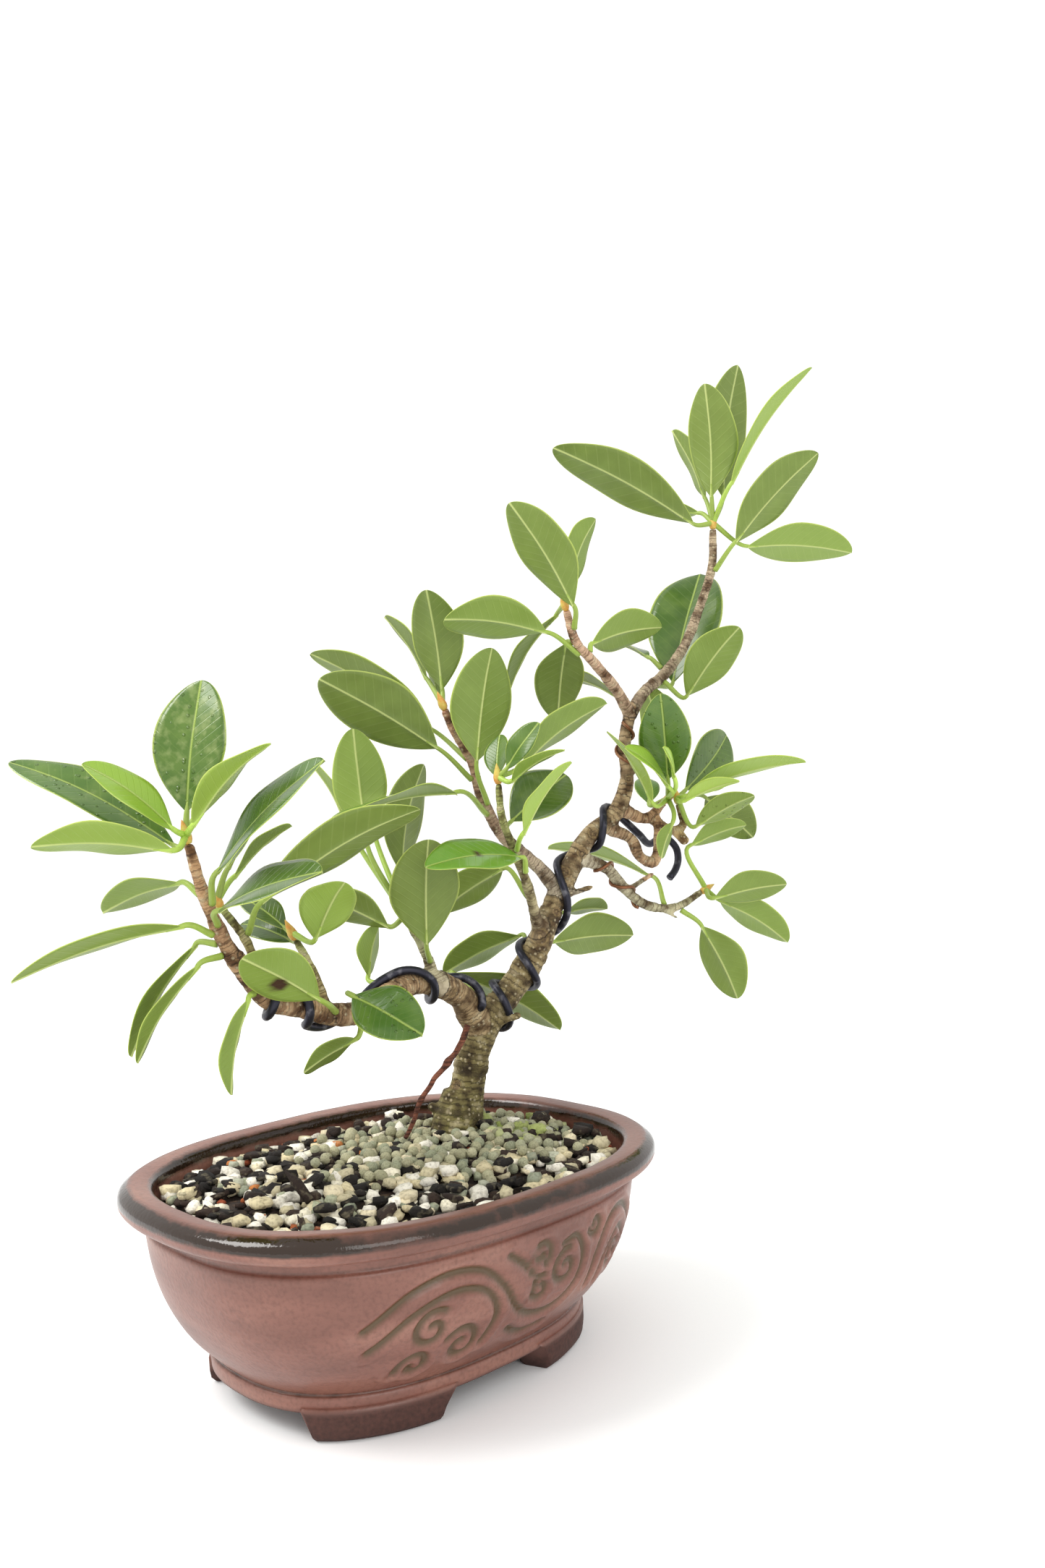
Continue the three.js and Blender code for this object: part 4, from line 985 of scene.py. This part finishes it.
# Corners as (how far inside the lip's outer edge, height, rounding).
OUTER_WALL = [(29, FOOT_HEIGHT, 1), (28.5, 14, 1.5), (30, 15, 1), (28, 17, 2), (21, 24, 7), (14.5, 35, 10),
              (10.5, 47, 10), (8.8, 57, 5), (8.6, 60, 1), (9.9, 61.2, 1), (9, 64.5, 1), (1.6, 66.6, 2),
              (0, 68.5, 2), (0, 72.6, 3.4), (3.6, 75, 3.4)]
INNER_WALL = [(RIM_WIDTH - 1, 74.4, 2.6), (RIM_WIDTH, 66, 4), (14.5, 56, 8), (19, 42, 8), (26, 29, 8),
              (41, FLOOR_TOP, 6)]
SCROLL_HALF_LENGTH = 74
SCROLL_LOW, SCROLL_HIGH = 18, 59
LONG_SIDE = 38                  # further than this from the pot's long axis is on its long sides
GROOVE_DEPTH = 1.5
GROOVE_HALF_WIDTH = 1.25
LIP_CORNER = 72.4               # the height where the glaze breaks on the lip


def rounded_profile(corners, longest):
    """Points along an outline with rounded corners, none further apart than longest."""
    points = [Vector(corners[0][:2])]
    for before, corner, after in zip(corners, corners[1:], corners[2:]):
        here = Vector(corner[:2])
        back, ahead = Vector(before[:2]) - here, Vector(after[:2]) - here
        start = here + back.normalized() * min(corner[2], back.length * 0.49)
        end = here + ahead.normalized() * min(corner[2], ahead.length * 0.49)
        points += [start.lerp(here, t).lerp(here.lerp(end, t), t) for t in (0, 0.25, 0.5, 0.75, 1)]
    points.append(Vector(corners[-1][:2]))
    dense = [points[0]]
    for point in points[1:]:
        pieces = max(1, math.ceil((point - dense[-1]).length / longest))
        start = dense[-1]
        dense += [start.lerp(point, i / pieces) for i in range(1, pieces + 1)]
    return dense


def squared(value, power):
    """A power that keeps the value's sign."""
    return math.copysign(abs(value) ** power, value)


def oval_point(angle, inset):
    """A point of the pot's squared oval, that far inside the lip's outer edge."""
    share = (POT_HALF_LENGTH - inset) / POT_HALF_LENGTH
    half_width = max(POT_HALF_WIDTH - inset, POT_HALF_WIDTH * share * share)
    power = 2 / POT_SQUARENESS
    return ((POT_HALF_LENGTH - inset) * squared(math.cos(angle), power),
            half_width * squared(math.sin(angle), power))


def oval_reach(x, y):
    """How far out a place lies in the pot's oval, from 0 in the middle to 1 at the lip's outer edge."""
    power = POT_SQUARENESS
    return (abs(x / POT_HALF_LENGTH) ** power + abs(y / POT_HALF_WIDTH) ** power) ** (1 / power)


def mirror_both_ways(bm):
    """Makes the whole of something round from its quarter, closed and facing outwards."""
    for axis in "XY":
        bmesh.ops.mirror(bm, geom=[*bm.verts, *bm.edges, *bm.faces], axis=axis, merge_dist=1e-4)
    bmesh.ops.remove_doubles(bm, verts=bm.verts, dist=1e-4)
    bmesh.ops.recalc_face_normals(bm, faces=bm.faces)


def turned_oval(outline_points, steps):
    """A bmesh of an outline of (inset, height) turned round, its rings squared into the pot's oval."""
    bm = bmesh.new()
    verts = [bm.verts.new((POT_HALF_LENGTH - inset, 0, height)) for inset, height in outline_points]
    edges = [bm.edges.new(pair) for pair in zip(verts, verts[1:])]
    bmesh.ops.spin(bm, geom=verts + edges, axis=(0, 0, 1), angle=math.pi / 2, steps=steps // 4)
    mirror_both_ways(bm)
    for vert in bm.verts:
        radius = math.hypot(vert.co.x, vert.co.y)
        if radius > 1e-3:
            vert.co.x, vert.co.y = oval_point(math.atan2(vert.co.y, vert.co.x), POT_HALF_LENGTH - radius)
    return bm


def spiral(x, z, radius, start, turns):
    """A carved curl on the pot's long side, from its open end in to its middle."""
    points = []
    for i in range(25):
        share = i / 24
        angle = math.radians(start + 360 * turns * share)
        reach = radius * (1 - 0.75 * share)
        points.append((x + reach * math.cos(angle), 0, z + reach * math.sin(angle)))
    return np.array(points)


def carved_lines():
    """A traditional scroll in (x, height) on one long side: long waves, an inner arc, curls and a fork."""
    waves = [
        [(-60, 0, 41), (-48, 0, 51), (-35, 0, 55), (-22, 0, 53), (-12, 0, 45), (-3, 0, 34), (6, 0, 29),
         (17, 0, 29), (25, 0, 35), (27, 0, 45), (22, 0, 53), (15, 0, 52)],
        [(-57, 0, 33), (-45, 0, 44), (-31, 0, 48.5), (-19, 0, 45), (-13, 0, 36), (-16, 0, 26)],
        [(-11, 0, 55), (-4, 0, 50), (2, 0, 44)],
        [(-5, 0, 27), (3, 0, 22.5), (14, 0, 22.5)],
        [(34, 0, 31), (37, 0, 44), (44, 0, 54), (54, 0, 55), (63, 0, 47), (66, 0, 36)],
        [(41, 0, 30), (44, 0, 40), (52, 0, 47), (59, 0, 42), (60, 0, 33)],
    ]
    curls = [(-38, 37, 7, 60, 1.15), (-25, 28, 7, 150, -1.15), (-40, 24, 5.5, 200, -1.05),
             (4, 51.5, 5, -60, 1.1), (6, 38.5, 5, 80, 1.05), (17.5, 43, 7, 80, 1.15), (52, 36, 6, 70, 1.1),
             (33, 54, 4, 200, 1.0)]
    return [Path(points).points for points in waves] + [spiral(*curl) for curl in curls]


def scroll_finder():
    """A search tree over places along the carved lines, as (x, height, 0)."""
    dots = []
    for line in carved_lines():
        places = np.linspace(0, len(line) - 1, 220)
        x, z = (np.interp(places, range(len(line)), line[:, axis]) for axis in (0, 2))
        dots += zip(x, z, np.zeros(len(x)))
    return search_tree(dots)


def carve_scrolls(bm):
    """Presses the scroll into both long sides, with a soft raised edge beside each groove."""
    carved = bm.verts.layers.float.new("carved")
    finder = scroll_finder()
    moves = []
    for vert in bm.verts:
        x, y, z = vert.co
        in_band = abs(x) < SCROLL_HALF_LENGTH and SCROLL_LOW < z < SCROLL_HIGH
        if not in_band or abs(y) <= LONG_SIDE or vert.normal.y * y <= 0:
            continue
        far = finder.find((x if y < 0 else -x, z, 0))[2]
        groove = math.exp(-(far / GROOVE_HALF_WIDTH) ** 2)
        edge = math.exp(-((far - 3) / 1.1) ** 2)
        vert[carved] = groove
        moves.append((vert, vert.normal * (0.5 * edge - GROOVE_DEPTH * groove)))
    for vert, move in moves:
        vert.co += move


def bracket_feet():
    """Four bracket feet, one under each corner, with their ends cut back in a curve towards the ground."""
    outline_points = [(40, 11), (40, 1.2), (39, 0.3), (38, 0), (31, 0), (30, 0.3), (28.4, 2), (28, 5),
                      (28, 8.4), (28, 9.4), (28, 11)]
    start, end = math.radians(27), math.radians(79)
    middle = (start + end) / 2
    bm = bmesh.new()
    loop = [bm.verts.new((POT_HALF_LENGTH - inset, 0, height)) for inset, height in outline_points]
    face = bm.faces.new(loop)
    bmesh.ops.rotate(bm, verts=loop, matrix=Matrix.Rotation(start, 3, "Z"))
    bmesh.ops.spin(bm, geom=[face, *face.edges, *loop], axis=(0, 0, 1), angle=end - start, steps=36)
    for vert in bm.verts:
        radius = math.hypot(vert.co.x, vert.co.y)
        angle = math.atan2(vert.co.y, vert.co.x)
        cut_back = 1 - 0.2 * (1 - min(vert.co.z / 11, 1)) ** 0.6
        vert.co.x, vert.co.y = oval_point(middle + (angle - middle) * cut_back, POT_HALF_LENGTH - radius)
    mirror_both_ways(bm)
    return plain_mesh(bm, "feet")


def mark_glaze(bm):
    """Marks where the glaze breaks and where the clay is bare, and lets the walls waver a little."""
    broken = bm.verts.layers.float.new("break")
    bare = bm.verts.layers.float.new("bare")
    for vert in bm.verts:
        x, y, z = vert.co
        reach = oval_reach(x, y)
        outer_corner = math.exp(-((z - LIP_CORNER) / 2.6) ** 4) * (reach > 0.955)
        inner_edge = math.exp(-((z - 72) / 2.4) ** 2) * (reach < 0.9)
        groove = 0.4 * math.exp(-((z - 61.5) / 1) ** 2) + 0.55 * math.exp(-((z - 15) / 0.8) ** 2)
        vert[broken] = max(outer_corner, inner_edge, groove)
        vert[bare] = min(max((10.4 - z) / 1.2, 0), 1)
        vert.co += vert.normal * 0.25 * noise.fractal(vert.co * 0.03, 1.0, 2.0, 2)


def drill_drains(blank):
    """The pot with a round drain hole through its floor on each side of the middle."""
    drill = bmesh.new()
    for side in (-1, 1):
        bmesh.ops.create_cone(drill, cap_ends=True, segments=32, radius1=DRAIN_RADIUS, radius2=DRAIN_RADIUS,
                              depth=20, matrix=Matrix.Translation((side * DRAIN_REACH, 0, 12)))
    cutter = put_in_scene("drill", plain_mesh(drill, "drill"))
    drilled = modified(blank, "pot_blank", "BOOLEAN", operation="DIFFERENCE", object=cutter,
                       solver="MANIFOLD")
    bpy.data.objects.remove(cutter)
    return drilled


def make_pot():
    """One fired piece: a turned wall with a lip and a floor, on four feet, carved and drilled."""
    outside = rounded_profile([(40, FOOT_HEIGHT, 0), *OUTER_WALL], 1.1)
    inside = rounded_profile([OUTER_WALL[-1], *INNER_WALL, (45, FLOOR_TOP, 0)], 3)
    middle = POT_HALF_LENGTH
    bm = turned_oval([(middle, FOOT_HEIGHT), *outside, *inside[1:], (middle, FLOOR_TOP)], POT_STEPS)
    copy_into(bm, bracket_feet())
    bm.normal_update()
    mark_glaze(bm)
    carve_scrolls(bm)
    bm = bmesh_of(drill_drains(plain_mesh(bm, "pot_blank")))
    add_piece("pot", mesh_from(bm, "pot"), ["pot"], [GLAZE])


def make_screens():
    """A square of plastic mesh over each drain hole, with a grid of square holes."""
    for name, side in (("drain_screen_left", -1), ("drain_screen_right", 1)):
        bm = bmesh.new()
        bmesh.ops.create_grid(bm, x_segments=8, y_segments=8, size=11.6,
                              matrix=Matrix.Translation((side * DRAIN_REACH, 0, FLOOR_TOP + 0.5)))
        bmesh.ops.inset_individual(bm, faces=bm.faces, thickness=0.5)
        cells = [face for face in bm.faces if len(face.verts) == 4 and face.calc_area() > 3]
        bmesh.ops.delete(bm, geom=cells, context="FACES")
        bmesh.ops.solidify(bm, geom=bm.faces, thickness=0.9)
        bmesh.ops.recalc_face_normals(bm, faces=bm.faces)
        add_piece(name, mesh_from(bm, name), [name], [SCREEN])


# ---- soil and gravel ----
def dome_height(inset):
    """The soil's height, which rises from the pot's inner wall towards the middle."""
    inward = min(max((inset - RIM_WIDTH) / 48, 0), 1)
    return SOIL_TOP + 3 * inward ** 0.7


def make_soil():
    """The ball of soil: a crumbly dome, with sides that follow the pot's inner wall."""
    insets = (POT_HALF_LENGTH, 92, 84, 76, 68, 60, 52, 44, 37, 30, 25, 20, 16, RIM_WIDTH + 0.8)
    top = [(inset, dome_height(inset)) for inset in insets]
    sides = [(15.2, 56), (19.6, 42), (26.6, 29), (42, 18), (POT_HALF_LENGTH, 18)]
    bm = turned_oval(top + sides, 160)
    for vert in bm.verts:
        if vert.co.z > SOIL_TOP:
            vert.co.z += 1.3 * noise.fractal(vert.co * 0.25, 1.0, 2.0, 3)
    add_piece("soil", mesh_from(bm, "soil"), ["soil"], [SOIL])


GRAVEL_HALF_LENGTH = 84.5
GRAVEL_HALF_WIDTH = 66.5
TRUNK_CLEAR = 9                 # no grain's middle is nearer than this to the middle of the trunk's foot
PELLET_GAP = 3.9                # between the middles of neighbouring pellets
HEAP_CELL = 4                   # grains in the same square of this size lie on one another
MOST_HEAP = 3.4
# Kinds of grain: name, how many, colours, size range, flatness, roughness of shape, and material.
GRAINS = [
    ("bark", 400, ("17100C", "241812", "2F2018", "120D0A"), (4, 9), 0.5, 0.55, 0),
    ("pumice", 470, ("EDE6D0", "DFD3B4", "F6F1E4", "C6BC9C", "D8CBA6", "E6E1D4"),
     (3.8, 7.6), 0.7, 0.45, 0),
    ("grey_green", 110, ("A5A98F", "8F9480", "B4B6A2"), (3.5, 6), 0.8, 0.25, 0),
    ("mossy", 40, ("9CA664", "86924F", "B3B886"), (5, 9), 0.75, 0.4, 0),
    ("orange", 60, ("A85A30", "B9733C", "94472A"), (2.4, 5), 0.75, 0.4, 0),
    ("pellet", 260, ("A3A488", "94987E", "B0AD8E", "9E9C7E"), (3.8, 4.9), 0.97, 0.04, 1),
]


def grain_spot(kind):
    """A random place on the soil: pellets heaped round the trunk's foot, mossy grains to the right of it,
    and the rest all over."""
    while True:
        if kind == "pellet":
            x, y = random.gauss(28, 19), random.gauss(4, 14)
        elif kind == "mossy":
            x, y = random.uniform(45, 86), random.uniform(-20, 50)
        else:
            x, y = random.uniform(-87, 87), random.uniform(-69, 69)
        in_pot = ((abs(x) / GRAVEL_HALF_LENGTH) ** POT_SQUARENESS
                  + (abs(y) / GRAVEL_HALF_WIDTH) ** POT_SQUARENESS) < 1
        if in_pot and math.dist((x, y), TRUNK_FOOT) > TRUNK_CLEAR:
            return x, y


def clear_spot(kind, pellets):
    """A spot for a grain; pellets keep nearly their own width apart, so each stays a separate ball."""
    if kind != "pellet":
        return grain_spot(kind)
    for _ in range(60):
        spot = grain_spot(kind)
        if all(math.dist(spot, pellet) > PELLET_GAP for pellet in pellets):
            break
    pellets.append(spot)
    return spot


def round_grain():
    """A small ball."""
    bm = bmesh.new()
    bmesh.ops.create_uvsphere(bm, u_segments=8, v_segments=6, radius=1)
    return plain_mesh(bm, "round_grain")


def broken_grain():
    """A cube with its faces cut in four and its corners drawn in."""
    bm = bmesh.new()
    bmesh.ops.create_cube(bm, size=1.6)
    bmesh.ops.subdivide_edges(bm, edges=bm.edges, cuts=1, use_grid_fill=True)
    for vert in bm.verts:
        vert.co = vert.co.normalized().lerp(vert.co, 0.35)
    return plain_mesh(bm, "broken_grain")


def add_grain(bm, tint, shape, size, flatness, roughness, colour, where, material):
    """A copy of a grain's shape, stretched, turned and knocked out of true."""
    verts, faces = copy_into(bm, shape)
    stretch = Vector((1, random.uniform(flatness, 1), flatness * random.uniform(flatness, 1))) * size / 2
    turn = Matrix.Rotation(random.uniform(0, 6.3), 3, "Z") @ Matrix.Rotation(random.gauss(0, 0.35), 3, "X")
    offset = Vector((random.uniform(0, 99), random.uniform(0, 99), 0))
    for vert in verts:
        bump = 1 + roughness * noise.noise(vert.co * 1.7 + offset)
        vert.co = turn @ (vert.co * stretch * bump) + where
        vert[tint] = colour
    for face in faces:
        face.material_index = material


def make_gravel():
    """Loose grains, each resting a little higher where grains already lie."""
    bm = bmesh.new()
    tint = bm.verts.layers.float_color.new("tint")
    broken, rounded = broken_grain(), round_grain()
    heaps = {}
    scattered = [row for row in GRAINS for _ in range(row[1])]
    random.shuffle(scattered)
    scattered.sort(key=lambda row: row[0] == "pellet")
    pellets = []
    for kind, _, colours, (smallest, largest), flatness, roughness, material in scattered:
        size = random.uniform(smallest, largest)
        x, y = clear_spot(kind, pellets)
        inset = POT_HALF_LENGTH * (1 - oval_reach(x, y))
        cell = (round(x / HEAP_CELL), round(y / HEAP_CELL))
        heap = min(heaps.get(cell, 0), MOST_HEAP)
        heaps[cell] = heap + size * 0.22
        z = dome_height(inset) + size * 0.3 + heap + (1.2 if kind == "pellet" else 0)
        shade = random.uniform(0.85, 1.1)
        colour = [channel * shade for channel in srgb(random.choice(colours))[:3]] + [1]
        shape = rounded if kind == "pellet" else broken
        add_grain(bm, tint, shape, size, flatness, roughness, colour, Vector((x, y, z)), material)
    sliver = tubes([[((-52, -18, 72), 1.6), ((-53, -12, 77), 1.9), ((-54, -6, 80.5), 0.2)]], 6)
    for vert in copy_into(bm, plain_mesh(sliver, "sliver"))[0]:
        vert[tint] = srgb("2A1E18")
    bmesh.ops.recalc_face_normals(bm, faces=bm.faces)
    add_piece("gravel", mesh_from(bm, "gravel"), ["gravel"], [STONE, PELLET])


make_camera()
make_stage(white_paper())
make_pot()
make_screens()
make_soil()
make_gravel()
make_tree()
make_air_root()
make_wires()
make_leaves()
